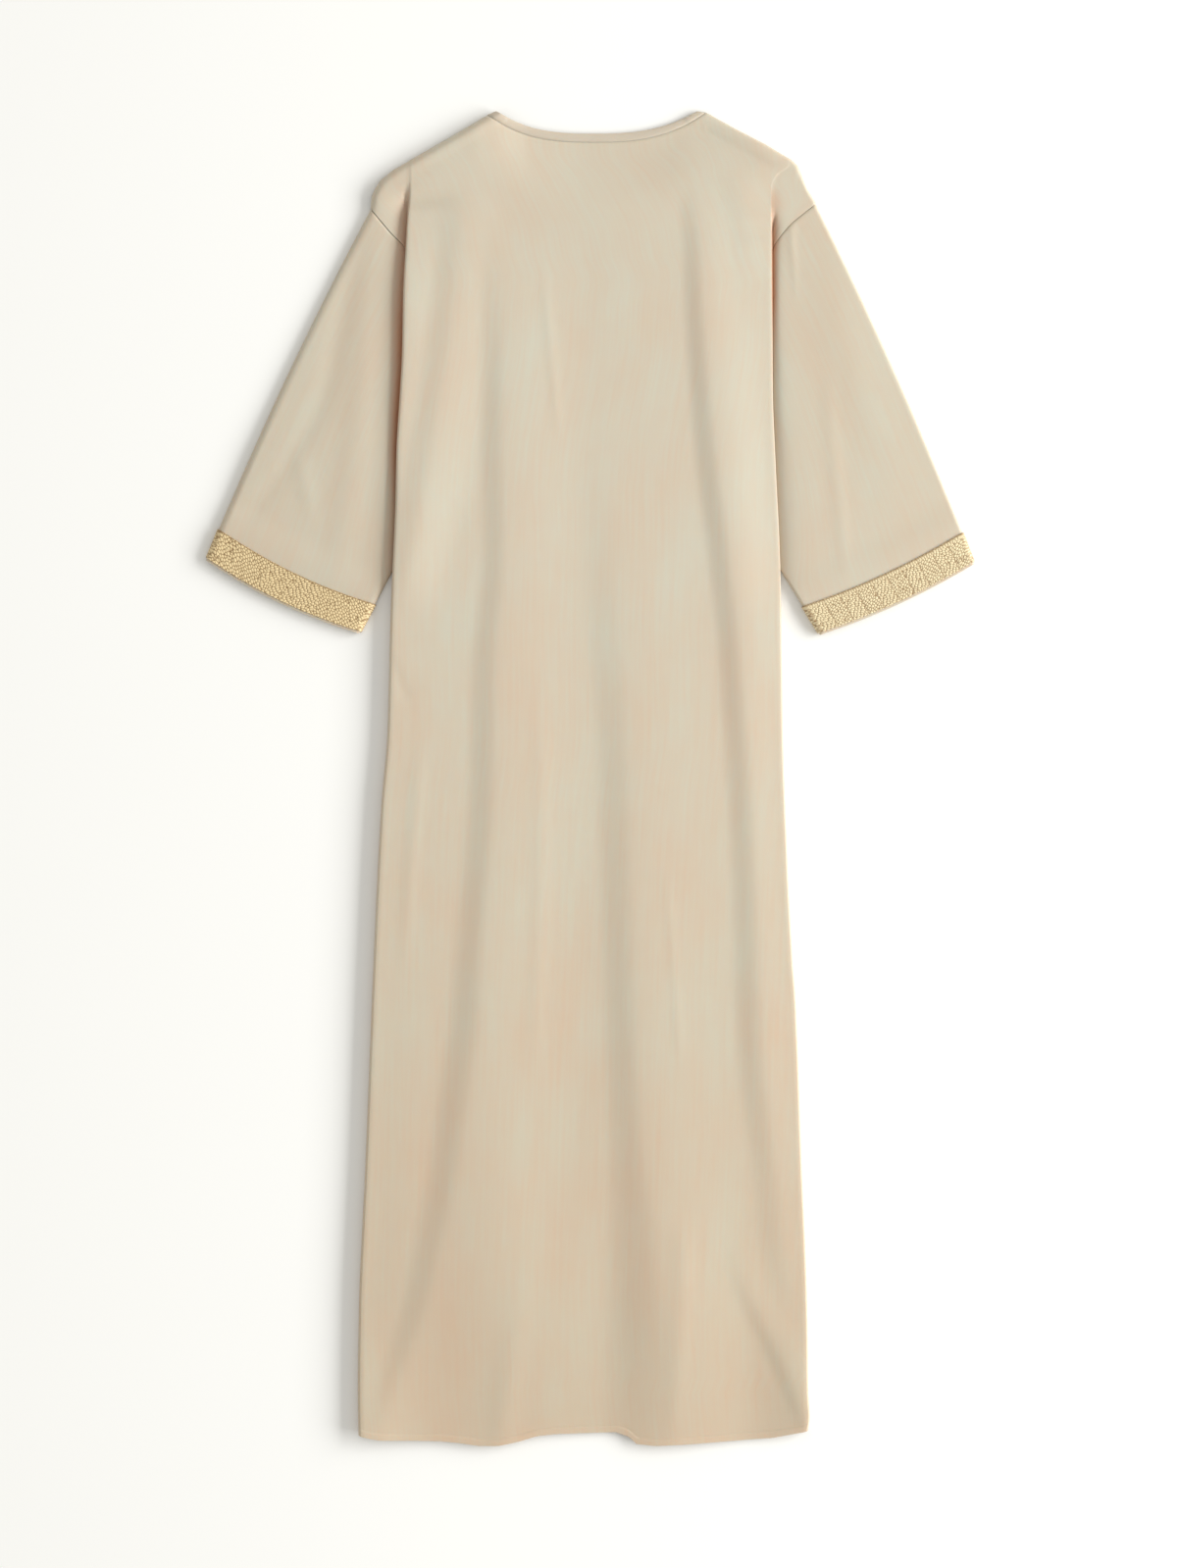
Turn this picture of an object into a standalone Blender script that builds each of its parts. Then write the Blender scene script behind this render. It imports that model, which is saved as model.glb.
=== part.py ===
"""A loose three-quarter-sleeved robe, laid flat face down, with its back up.

Frame: metres, +Z up, the neck towards +Y, the hem towards -Y and the origin on the surface
under the middle of the robe. The tables below are in millimetres: "down" runs from the neck
points towards the hem, "out" runs sideways from the middle line, and x is out with its sign,
negative on the left sleeve's side as seen from above.

The cloth is one wall thick everywhere. The front panel lies flat on the surface. The back
panel lies over it in long soft folds, rolls over at each side, and comes back underneath to
the seams: along the armhole it is folded back over the top of the sleeve, and below the
underarm its edge meets the side of the front panel. Each sleeve is a flattened tube, open at
the armhole and at the cuff, with a band of braid round its end.
"""

import math

import bpy
import numpy as np

MM = 0.001

# Cloth and seams
CLOTH = 1.2
BRAID = 1.0
SEAM_GAP = 0.3
ARMHOLE_GAP = 0.8
LENGTH = 1360.3

# Heights of the middle of each wall above the surface
FLAT_Z = CLOTH / 2
SECOND_LAYER_Z = FLAT_Z + CLOTH + SEAM_GAP
BODY_Z = 8.6
LEFT_SWELL = 3.5
SWELL_OUT = 190.0
HEM_Z = 3.6
LEVEL_RISE = 70.0
HEM_FALL_STARTS = 1190.0
FOLD_AT_EDGE = 0.25
FOLD_LOST_AT_HEM = 0.35
BLEND_WIDTH = 32.0

# Neck: the finished edge, and the seam that joins the band to the panels
NECK_MIDDLE_X = 6.5
NECK_HALF_WIDTH = 102.4
NECK_DEPTH = 22.6
BAND_HALF_WIDTH = 111.7
BAND_DEPTH = 31.4
BAND_END = {"left": 4.4, "right": 1.3}
FRONT_NECK_DEPTH = 92.0
FRONT_BAND_WIDTH = 8.8
NECK_ROUNDNESS = {"left": 3.0, "right": 2.6}
FRONT_NECK_ROUNDNESS = 2.4
BAND_GAPS = 1.8
BAND_GAP_POWER = 6
FRONT_NECK_POINTS = 21
HEM_TUCK = 4.0
FRONT_HEM_REACH = 200.0
TOP_SMOOTHING = np.linspace(-30.0, 30.0, 13)

# The long pleat beside each armhole, and the rolled side edge that follows from it
PLEAT_INNER_ARC = 3.0
PLEAT_OUTER_ARC = {
    "left": {"down": (60, 90, 100, 110, 120, 130, 190), "length": (7, 7, 8, 9, 11, 13, 16.5)},
    "right": {"down": (60, 105, 125, 145, 165), "length": (3.5, 3.5, 3.5, 4, 4.5)},
}
PLEAT_FLAT_ANGLE = 0.08
PLEAT_OPENS = {"left": (70.0, 130.0), "right": (96.0, 148.0)}
LEG_LANDS = {"left": (478.0, 530.0), "right": (474.0, 526.0)}
SIDE_ROLL_ARC = {"left": 18.5, "right": 12.5}
ROLL_FLATNESS = {"left": 0.4, "right": 0.33}
FREE_LEG = (1.0, 7.0)
FREE_LEG_GROWS = (120.0, 160.0)
LEG_OVERLAP = 1.5
LEAST_STEP = 0.06
UNDERLAP = {"armhole": 0.9, "side seam": 1.5 + SEAM_GAP}
SEAM_BURIED = (181.0, 250.0)
TIP_RUN = (0.0, 1.5, 8.0, 19.0)
LOWER_LAYER_SETTLES = 42.0
COLUMNS_SETTLE = 216.0
TOP_GUESS = 50.0
TOP_PASSES = 40
FOOT_DOWN = 1345.0
SIDE_HEM_LIFT = 3.0
ROLL_HEM_STEP = 0.75
BEND_PLACE, ROLL_PLACE, TOP_PLACE = 4, 8, 12

# Columns and rows of the back panel
CHEST_DOWN = 186.0
YOKE_INSETS = (0.0, 1.0, 3.5, 8.0)
YOKE_SHARES = (0.14, 0.28, 0.42, 0.56, 0.7, 0.85, 1.0)
BODY_ROWS = (215, 250, 286, 320, 360, 398, 416, 445, 476, 500, 530, 570, 620, 670, 725, 780, 835,
             890, 945, 1000, 1050, 1100, 1150, 1200, 1250, 1290)
HEM_SHARES = (0.45, 0.8, 1.0)
SIDE_PLACES = np.arange(TOP_PLACE + 1.0)
NECK_COLUMNS = 13
SHOULDER_COLUMNS = {"left": 9, "right": 8}

SIDES = {"left": -1, "right": 1}

SHOULDER = {
    "left": {
        "out": (96.3, 105.0, 202.8, 205.7, 213.7, 218.7, 222.7, 224.0),
        "down": (0.0, 4.4, 61.3, 64.3, 70.3, 78.3, 86.3, 99.8),
    },
    "right": {
        "out": (109.0, 118.3, 147.9, 178.7, 205.3, 212.1, 217.3, 220.3, 230.2),
        "down": (0.0, 1.3, 17.8, 33.9, 50.0, 56.7, 70.3, 78.3, 94.8),
    },
}
ARMHOLE = {
    "left": {
        "down": (99.8, 122.2, 142.3, 186.0, 286.0, 398.0),
        "out": (224.0, 205.5, 188.0, 178.0, 169.0, 163.7),
    },
    "right": {
        "down": (94.8, 118.5, 139.8, 186.0, 286.0, 416.0),
        "out": (230.2, 202.0, 187.0, 176.0, 167.0, 162.3),
    },
}
SIDE_SEAM = {
    "left": {"down": (398.0, 476.0, 1347.0), "out": (163.7, 170.0, 222.0)},
    "right": {"down": (416.0, 476.0, 1345.0), "out": (162.3, 166.0, 208.0)},
}
SIDE_EDGE = {
    "left": {
        "down": (75, 143, 180, 246, 286, 326, 346, 400, 476, 526, 636, 706, 866, 1066, 1226, 1306, 1347),
        "out": (184.5, 188.3, 190.4, 191.7, 193.8, 196.4, 197.4, 198.4, 201.7, 203.7, 206.7, 212.7, 220.7,
                228.7, 235.7, 236.7, 236),
    },
    "right": {
        "down": (56, 66, 78, 140, 286, 346, 387, 426, 471, 546, 626, 746, 866, 906, 1066, 1226, 1306,
                 1331, 1345),
        "out": (203, 190, 185.3, 185.6, 186.2, 188.4, 190.3, 192.3, 193.9, 195.3, 196.3, 200.3, 206.3,
                209.3, 215.3, 221.3, 222.3, 223.8, 222),
    },
}
HEM = {
    "x": (-236, -214, -154, -134, -114, -94, -74, -54, -34, 26, 40, 47, 66, 106, 146, 186, 206, 222),
    "down": (1350, 1354.3, 1355.3, 1357.3, 1360.3, 1360.3, 1356.3, 1350.3, 1348.3, 1346.5, 1351.3,
             1358.3, 1360.3, 1358.3, 1355.3, 1352.3, 1348.3, 1345.3),
}

# Long folds of the back: each rises over "rise" round its foot line and falls away over "fall"
FOLDS = {
    "left blade": {
        "down": (60, 140, 260, 378, 470, 520), "x": (-142, -146, -160, -179, -194, -200),
        "rise": (30, 30, 30, 30, 26, 26), "fall": (50, 50, 50, 50, 40, 40),
        "height": (0, 1.6, 2.6, 2.6, 1.6, 0),
    },
    "left long": {
        "down": (110, 200, 286, 446, 560, 690, 846, 926, 1006, 1086, 1166, 1226, 1316, 1361),
        "x": (-99, -101, -101, -99, -108, -111, -123, -129, -140, -151, -168, -181, -213, -222),
        "rise": (26, 28, 28, 28, 30, 32, 34, 36, 38, 38, 34, 30, 28, 26),
        "fall": (80, 90, 90, 90, 100, 110, 110, 120, 120, 120, 120, 120, 100, 90),
        "height": (0, 1.8, 2.4, 2.5, 2.8, 3.2, 3.4, 3.8, 3.8, 3.6, 3.2, 2.8, 2.2, 1.0),
    },
    "left low": {
        "down": (960, 1060, 1166, 1286, 1361), "x": (-112, -116, -124, -128, -130),
        "rise": (70, 80, 92, 96, 96), "fall": (120, 120, 120, 120, 120), "height": (0, 1.2, 3.4, 4.4, 3.4),
    },
    "centre": {
        "down": (330, 496, 638, 858, 1050, 1146, 1314, 1361), "x": (0, 12, 22, 28, 36, 42, 46, 44),
        "rise": (40, 40, 38, 38, 42, 56, 72, 72), "fall": (90, 100, 110, 110, 110, 100, 90, 90),
        "height": (0, 1.2, 2.2, 3.2, 3.6, 4.6, 6.4, 6.6),
    },
    "right long": {
        "down": (72, 130, 216, 307, 366, 449, 528, 606, 686, 786, 954, 1086, 1166, 1260),
        "x": (98, 102, 106, 113, 119, 130, 139, 145, 151, 156, 162, 178, 186, 196),
        "rise": (22, 22, 24, 26, 27, 28, 28, 29, 30, 30, 32, 32, 30, 28),
        "fall": (60, 60, 64, 70, 70, 74, 78, 84, 90, 90, 90, 90, 80, 60),
        "height": (0, 1.8, 2.8, 3.2, 3.3, 3.3, 3.2, 3.2, 3.2, 3.0, 2.8, 2.2, 1.6, 0),
    },
    "right blade": {
        "down": (50, 80, 130, 200, 300), "x": (136, 143, 151, 157, 161),
        "rise": (26, 26, 26, 26, 26), "fall": (30, 30, 30, 30, 30), "height": (0, 0.7, 0.9, 0.5, 0),
    },
    "right hem": {
        "down": (1150, 1200, 1260, 1333, 1361), "x": (140, 153, 182, 212, 220),
        "rise": (20, 20, 18, 18, 18), "fall": (34, 34, 34, 34, 34), "height": (0, 0.9, 1.5, 1.6, 1.2),
    },
}

# The layer under the body's fold: how it rises beside the fold, its loft there and its edges
LOFT = {
    "left": {"down": (60, 80, 100, 120, 190, 290, 350, 410, 480),
             "height": (8.8, 8.3, 6.4, 5.2, 4.6, 5.2, 6.2, 5.2, 4.4), "run": (10, 10, 9, 9, 9, 9, 9, 9, 9)},
    "right": {"down": (60, 190, 290, 350, 410, 480), "height": (5.0, 6.2, 5.4, 4.8, 4.6, 4.6),
              "run": (8, 8, 8, 8, 8, 8)},
}
LOFT_STARTS = {"left": 7.0, "right": 6.0}
EDGE_ROUND = {"left": 8.0, "right": 2.5}
EDGE_LIFT = {
    "x": (-225, -190, -120, -100, -60, 6, 70, 112, 180, 230),
    "z": (8.7, 10.5, 11.0, 9.5, 4.4, 2.6, 2.6, 3.0, 6.5, 6.5),
}

# Sleeves: corners of the cuff's open end, the long folds, and where each ring lies
CUFF = {
    "left": {"outer": (391.8, 457.5), "inner": (235.3, 532.5), "bulge": 7.0},
    "right": {"outer": (391.8, 461.3), "inner": (234.3, 533.8), "bulge": 5.0},
}
OUTER_EDGE_BOW = 5.0
OUTER_EDGE_SHARES = np.linspace(0.95, -0.02, 14)
SLEEVE_FOLDS = {
    "left": (
        {"down": (100, 160, 202, 289, 358, 400, 440), "out": (222, 240, 252, 272, 307, 336, 360),
         "width": 12.0, "height": (0, -0.5, -0.9, -0.9, -0.7, -0.4, 0)},
        {"down": (110, 180, 300, 420, 500), "out": (216, 224, 234, 250, 262), "width": 16.0,
         "height": (0, 0.5, 0.9, 0.7, 0)},
        {"down": (330, 380, 430), "out": (300, 290, 284), "width": 9.0, "height": (0, 0.5, 0)},
    ),
    "right": (
        {"down": (112, 128, 150, 200), "out": (206, 205, 207, 210), "width": 3.5, "height": (0, 0.7, 0.5, 0)},
        {"down": (120, 240, 420), "out": (236, 262, 322), "width": 26.0, "height": (0, 0.9, 0)},
        {"down": (250, 330, 420, 500), "out": (240, 246, 256, 262), "width": 8.0, "height": (0, 0.4, 0.4, 0)},
    ),
}
SLEEVE_ACROSS = np.array((0.0, 0.008, 0.03, 0.0755, 0.11, 0.1425, 0.18, 0.225, 0.275, 0.325, 0.375, 0.425,
                          0.475, 0.525, 0.575, 0.625, 0.675, 0.725, 0.775, 0.83, 0.885, 0.94, 0.98, 1.0))
LOWER_ACROSS = np.array((0.012, 0.0755, 0.2, 0.35, 0.5, 0.65, 0.8, 0.94, 0.985))
CUFF_STEPS = (0.0, 9.0, 18.0, 27.0, 36.0, 52.0)
SLEEVE_SHARES = (0.12, 0.24, 0.36, 0.48, 0.6, 0.72, 0.84, 0.93, 1.0)
CUFF_RAISED = (40.0, 75.0)
CUFF_FLATTENED = 60.0
CUFF_LOFT = 0.75
EDGE_SHIFT_WIDTH = 1.2
LIP = 2.5
BRAID_WIDTH = 31.5
BRAID_SHARES = (0.0, 0.33, 0.67, 1.0)

CLOTH_COLOUR = (0.61, 0.55, 0.44)
BAND_COLOUR = (0.58, 0.51, 0.41)
BRAID_COLOUR = (0.62, 0.46, 0.22)


def smooth(value):
    """0 below 0, 1 above 1, and an even S between."""
    t = np.clip(value, 0.0, 1.0)
    return t * t * (3.0 - 2.0 * t)


def ramp(value, start, end):
    return smooth((np.asarray(value, float) - start) / (end - start))


def quarter_round(value):
    """A quarter of a circle: 0 at 0, rising straight up, and level from 1 on."""
    return np.sqrt(1.0 - (1.0 - np.clip(value, 0.0, 1.0)) ** 2)


def along(knots, heights, value):
    """A smooth curve through a table's rows: a cubic between each two, and at each row the
    harmonic mean of the slopes beside it, so that it never swings past a row."""
    xs, ys = np.asarray(knots, float), np.asarray(heights, float)
    steps = np.diff(xs)
    slopes = np.diff(ys) / steps
    product = slopes[:-1] * slopes[1:]
    total = np.where(product > 0, slopes[:-1] + slopes[1:], 1.0)
    inner = np.where(product > 0, 2.0 * product / total, 0.0)
    tangents = np.concatenate([slopes[:1], inner, slopes[-1:]])
    value = np.clip(value, xs[0], xs[-1])
    i = np.clip(np.searchsorted(xs, value, side="right") - 1, 0, len(xs) - 2)
    t = (value - xs[i]) / steps[i]
    cubic, square = t ** 3, t ** 2
    return ((2 * cubic - 3 * square + 1) * ys[i] + (cubic - 2 * square + t) * steps[i] * tangents[i]
            + (3 * square - 2 * cubic) * ys[i + 1] + (cubic - square) * steps[i] * tangents[i + 1])


def read(table, given, wanted, value):
    return np.interp(value, table[given], table[wanted])


def neck_line(u, half_width, middle_depth, end_depth):
    """x and down of a neck curve at u, from -1 at its left end to 1 at its right end."""
    power = np.where(u < 0, NECK_ROUNDNESS["left"], NECK_ROUNDNESS["right"])
    ends = np.where(u < 0, end_depth["left"], end_depth["right"])
    bend = 1.0 - np.abs(u) ** power
    return NECK_MIDDLE_X + half_width * u, ends + (middle_depth - ends) * bend


def shoulder_down(side, out):
    return read(SHOULDER[side], "out", "down", out)


def top_down(x):
    """Down of the back panel's upper edge: shoulder, neck seam, shoulder."""
    u = np.clip((x - NECK_MIDDLE_X) / BAND_HALF_WIDTH, -1.0, 1.0)
    _, neck = neck_line(u, BAND_HALF_WIDTH, BAND_DEPTH, BAND_END)
    return np.where(np.abs(u) < 1.0, neck,
                    np.where(x < 0, shoulder_down("left", -x), shoulder_down("right", x)))


def smooth_top(x):
    """Down of the same edge with its corners at the neck points smoothed away."""
    return sum(top_down(x + shift) for shift in TOP_SMOOTHING) / len(TOP_SMOOTHING)


def side_edge(side, down):
    return along(SIDE_EDGE[side]["down"], SIDE_EDGE[side]["out"], down)


def seam_out(side, down):
    """Out of the seam under the side edge: the armhole, and the side seam below it."""
    armhole = along(ARMHOLE[side]["down"], ARMHOLE[side]["out"], down)
    seam = along(SIDE_SEAM[side]["down"], SIDE_SEAM[side]["out"], down)
    return np.where(down < ARMHOLE[side]["down"][-1], armhole, seam)


def fold_height(x, down):
    """Sum of the long folds: each is an S up across its foot line, then an S down."""
    total = np.zeros(np.broadcast(x, down).shape)
    for fold in FOLDS.values():
        foot, rise, fall, height = (along(fold["down"], fold[name], down)
                                    for name in ("x", "rise", "fall", "height"))
        up = smooth((x - foot) / rise + 0.5)
        away = 1.0 - smooth((x - foot - rise / 2) / fall)
        total = total + height * up * away
    return total


def crease_height(x, down, creases, across="x"):
    """Sum of small creases: each is a bell curve across its line."""
    total = np.zeros(np.broadcast(x, down).shape)
    for crease in creases:
        middle = along(crease["down"], crease[across], down)
        height = along(crease["down"], crease["height"], down)
        total = total + height * np.exp(-((x - middle) / crease["width"]) ** 2)
    return total


def distance_to(line, out, down):
    """Least distance from points to a line of (out, down) points."""
    best = np.full(np.broadcast(out, down).shape, 1e9)
    for (a_out, a_down), (b_out, b_down) in zip(line[:-1], line[1:]):
        run, drop = b_out - a_out, b_down - a_down
        share = np.clip(((out - a_out) * run + (down - a_down) * drop) / (run * run + drop * drop), 0, 1)
        best = np.minimum(best, np.hypot(out - a_out - share * run, down - a_down - share * drop))
    return best


def sleeve_plan(side, share, from_cuff):
    """Out, down and length of a sleeve's point: share across from its outer edge, distance from
    its cuff. Each thread runs straight from the cuff to the armhole, and the outer edge bows."""
    cuff = CUFF[side]
    outer, inner = np.array(cuff["outer"]), np.array(cuff["inner"])
    downs = ARMHOLE[side]["down"]
    share = np.asarray(share, float)
    arm_down = downs[0] + (downs[-1] - downs[0]) * share
    arm_out = along(downs, ARMHOLE[side]["out"], arm_down)
    across = (inner - outer) / np.linalg.norm(inner - outer)
    away = np.array([-across[1], across[0]])
    away = away if away[1] > 0 else -away
    bulge = cuff["bulge"] * 4 * share * (1 - share)
    end_out = outer[0] + (inner[0] - outer[0]) * share + away[0] * bulge
    end_down = outer[1] + (inner[1] - outer[1]) * share + away[1] * bulge
    length = np.hypot(arm_out - end_out, arm_down - end_down)
    part = from_cuff / length
    bow = OUTER_EDGE_BOW * 4 * part * (1 - part) * (1 - share) ** 2
    out = end_out + (arm_out - end_out) * part - across[0] * bow
    down = end_down + (arm_down - end_down) * part - across[1] * bow
    return out, down, length


def outer_line(side):
    """The robe's outline from the neck over the shoulder and down the sleeve's outer edge."""
    shoulder = list(zip(SHOULDER[side]["out"], SHOULDER[side]["down"]))
    _, _, length = sleeve_plan(side, 0.0, 0.0)
    out, down, _ = sleeve_plan(side, 0.0, length * OUTER_EDGE_SHARES)
    return shoulder + list(zip(out, down))


OUTER_LINE = {side: outer_line(side) for side in SIDES}


def fold_across(side, down):
    """Sizes of the rolled side seen across: the angle that both arcs turn, their radii, the leg
    between them, the height they start from, and the loft of the layers below them. The angle
    grows from almost nothing at the shoulder to a half turn, and the loft gives way as it does."""
    angle = PLEAT_FLAT_ANGLE + (math.pi - PLEAT_FLAT_ANGLE) * ramp(down, *PLEAT_OPENS[side])
    landed = ramp(down, *LEG_LANDS[side])
    inner_radius = PLEAT_INNER_ARC / angle
    pleat_arc = along(PLEAT_OUTER_ARC[side]["down"], PLEAT_OUTER_ARC[side]["length"], down)
    outer_arc = pleat_arc + (SIDE_ROLL_ARC[side] - pleat_arc) * landed
    outer_radius = outer_arc / angle
    edge_out = side_edge(side, down) - CLOTH / 2
    free_leg = FREE_LEG[0] + (FREE_LEG[1] - FREE_LEG[0]) * ramp(down, *FREE_LEG_GROWS)
    tied_leg = edge_out - outer_radius * ROLL_FLATNESS[side] - seam_out(side, down) + LEG_OVERLAP
    leg = free_leg + (tied_leg - free_leg) * ramp(down, FREE_LEG_GROWS[1], CHEST_DOWN)
    floor_z = SECOND_LAYER_Z - (SECOND_LAYER_Z + 2 * inner_radius - FLAT_Z) * landed
    rolled = (inner_radius + outer_radius) * (1 - np.cos(angle)) + leg * np.sin(angle)
    loft = along(LOFT[side]["down"], LOFT[side]["height"], down)
    loft = loft * smooth(1.0 - rolled / loft)
    return angle, inner_radius, outer_radius, outer_arc, leg, floor_z, loft


def second_loft(side, out, down, inset):
    """Loft of the layer that lies beside the body's fold: it climbs from the fold, fast and then
    ever slower, and is rounded off at the robe's outer edge. Above the fold's upper end there is
    no valley."""
    height, run = (along(LOFT[side]["down"], LOFT[side][name], down) for name in ("height", "run"))
    valley = 1.0 - fold_across(side, down)[-1] / height
    beyond = np.maximum(out - side_edge(side, down) - LOFT_STARTS[side], 0.0)
    body = height + crease_height(out, down, SLEEVE_FOLDS[side], "out")
    return body * (1.0 - np.exp(-beyond / run) * valley) * quarter_round(inset / EDGE_ROUND[side])


def closed_loft(side, out, down):
    """Loft of the layers under the fold, above the place where the fold opens."""
    inset = distance_to(OUTER_LINE[side], out, down)
    return fold_across(side, down)[-1] * quarter_round(inset / EDGE_ROUND[side])


def shoulder_inset(x, down):
    left = distance_to(OUTER_LINE["left"], -x, down)
    right = distance_to(OUTER_LINE["right"], x, down)
    return np.where(x < 0, left, right)


def upper_level(x, down, from_top):
    """Height of the back before its folds: a rounded edge at the shoulders, then a slow rise."""
    edge_z = along(EDGE_LIFT["x"], EDGE_LIFT["z"], x)
    inset = shoulder_inset(x, down)
    bend = quarter_round(inset / np.where(x < 0, EDGE_ROUND["left"], EDGE_ROUND["right"]))
    body_z = BODY_Z + LEFT_SWELL * (np.minimum(x, 0.0) / SWELL_OUT) ** 2
    return SECOND_LAYER_Z + (edge_z - SECOND_LAYER_Z) * bend + (body_z - edge_z) * from_top


def back_height(x, down):
    """Height of the middle of the back's upper layer above the surface."""
    from_top = ramp(down - smooth_top(x), 0.0, LEVEL_RISE)
    to_hem = ramp(down, HEM_FALL_STARTS, LENGTH)
    level = upper_level(x, down, from_top) - (BODY_Z - HEM_Z) * to_hem
    share = (FOLD_AT_EDGE + (1.0 - FOLD_AT_EDGE) * from_top) * (1.0 - FOLD_LOST_AT_HEM * to_hem)
    return level + fold_height(x, down) * share


def side_points(side, down, place):
    """Out and height of the rolled side at each place, from 0 at the panel's seam to 12 at the
    top of the roll. Across it the cloth runs in along the lower layer (0 to 4), turns up round
    a small arc (4 to 6), comes back out along the leg (6 to 8) and turns over round a larger
    arc (8 to 12)."""
    angle, inner_radius, outer_radius, outer_arc, leg, floor_z, _ = fold_across(side, down)
    reach = outer_radius * ROLL_FLATNESS[side]
    edge_out = side_edge(side, down) - CLOTH / 2
    turn = np.minimum(angle, math.pi / 2)
    leg_end = inner_radius * np.sin(angle) + leg * np.cos(angle)
    start_out = edge_out + leg_end + reach * (np.sin(angle) - np.sin(turn))
    under_armhole = down > ARMHOLE[side]["down"][-1]
    stacked = PLEAT_INNER_ARC + np.where(under_armhole, UNDERLAP["side seam"], UNDERLAP["armhole"])
    butted = start_out - (seam_out(side, down) - ARMHOLE_GAP)
    first = butted + (stacked - butted) * ramp(down, *SEAM_BURIED)

    wanted = [first * share for share in (1.0, 0.75, 0.5, 0.25, 0.0)]
    wanted += [PLEAT_INNER_ARC / 2 + 0 * first, PLEAT_INNER_ARC + 0 * first, PLEAT_INNER_ARC + leg / 2]
    stops = [np.maximum(stop, first + LEAST_STEP * leg * number) for number, stop in enumerate(wanted)]
    stops += [PLEAT_INNER_ARC + leg + outer_arc * share for share in (0.0, 0.25, 0.5, 0.75, 1.0)]
    travel = sum(stop * np.clip(1.0 - np.abs(place - number), 0.0, 1.0) for number, stop in enumerate(stops))

    bend = np.clip(travel / inner_radius, 0.0, angle)
    bend_out = start_out - inner_radius * np.sin(bend)
    bend_z = floor_z + inner_radius * (1 - np.cos(bend))
    run = travel - PLEAT_INNER_ARC
    leg_out = start_out - inner_radius * np.sin(angle) - run * np.cos(angle)
    leg_z = floor_z + inner_radius * (1 - np.cos(angle)) + run * np.sin(angle)
    left = angle * (1.0 - (run - leg) / outer_arc)
    roll_out = start_out - leg_end + reach * (np.sin(left) - np.sin(angle))
    roll_z = (floor_z + inner_radius * (1 - np.cos(angle)) + leg * np.sin(angle)
              + outer_radius * (np.cos(left) - np.cos(angle)))
    parts = (travel <= 0.0, travel <= PLEAT_INNER_ARC, travel <= PLEAT_INNER_ARC + leg)
    out = np.select(parts, (start_out - travel, bend_out, leg_out), roll_out)
    z = np.select(parts, (floor_z + 0 * travel, bend_z, leg_z), roll_z)
    return out, z


def row_downs(top, hem):
    """Down of every row of columns that start at top and end at hem."""
    first = top + np.array(YOKE_INSETS)[:, None]
    yoke = first[-1] + (CHEST_DOWN - first[-1]) * np.array(YOKE_SHARES)[:, None]
    body = np.array(BODY_ROWS, float)[:, None] + 0 * top
    low = BODY_ROWS[-1] + (hem - BODY_ROWS[-1]) * np.array(HEM_SHARES)[:, None]
    return np.concatenate([first, yoke, body, low])


def side_columns(side):
    """x, down and height of the rolled side's columns."""
    place = SIDE_PLACES
    tip_out, tip_down = ARMHOLE[side]["out"][0], ARMHOLE[side]["down"][0]
    top = np.full(len(place), TOP_GUESS)
    for _ in range(TOP_PASSES):
        solved, _ = side_points(side, top, place)
        top = (top + shoulder_down(side, solved)) / 2
    bend_out = np.interp(BEND_PLACE, place, solved)
    tip = (tip_out - ARMHOLE_GAP, *(tip_out - run for run in TIP_RUN[1:]), bend_out)
    top_out = np.where(place < BEND_PLACE, np.interp(place, range(BEND_PLACE + 1), tip), solved)
    top = shoulder_down(side, top_out)
    top = np.where(place < 1, tip_down + (shoulder_down(side, tip[1]) - tip_down) * place, top)
    hem = read(HEM, "x", "down", SIDES[side] * side_edge(side, FOOT_DOWN)) - SIDE_HEM_LIFT
    hem = hem + ROLL_HEM_STEP * np.clip(place - ROLL_PLACE, 0.0, TOP_PLACE - ROLL_PLACE)
    down = row_downs(top, hem)
    out, z = side_points(side, down, place)

    edge, _ = side_points(side, down, np.zeros(len(place)))
    bend, _ = side_points(side, down, np.full(len(place), float(BEND_PLACE)))
    edge_top, _ = side_points(side, top, np.zeros(len(place)))
    bend_at_top, _ = side_points(side, top, np.full(len(place), float(BEND_PLACE)))
    start = (edge_top - top_out) / (edge_top - bend_at_top)
    share = start + (place / BEND_PLACE - start) * ramp(down, top, top + LOWER_LAYER_SETTLES)
    under = (place > 0) & (place < BEND_PLACE) & (down < CHEST_DOWN)
    out = np.where(under, edge + (bend - edge) * share, out)
    inset = distance_to(OUTER_LINE[side], out, down)
    second = (down < CHEST_DOWN) & (place < BEND_PLACE)
    loft = np.where(second, second_loft(side, out, down, inset), closed_loft(side, out, down))
    return SIDES[side] * out, down, z + loft


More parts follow.
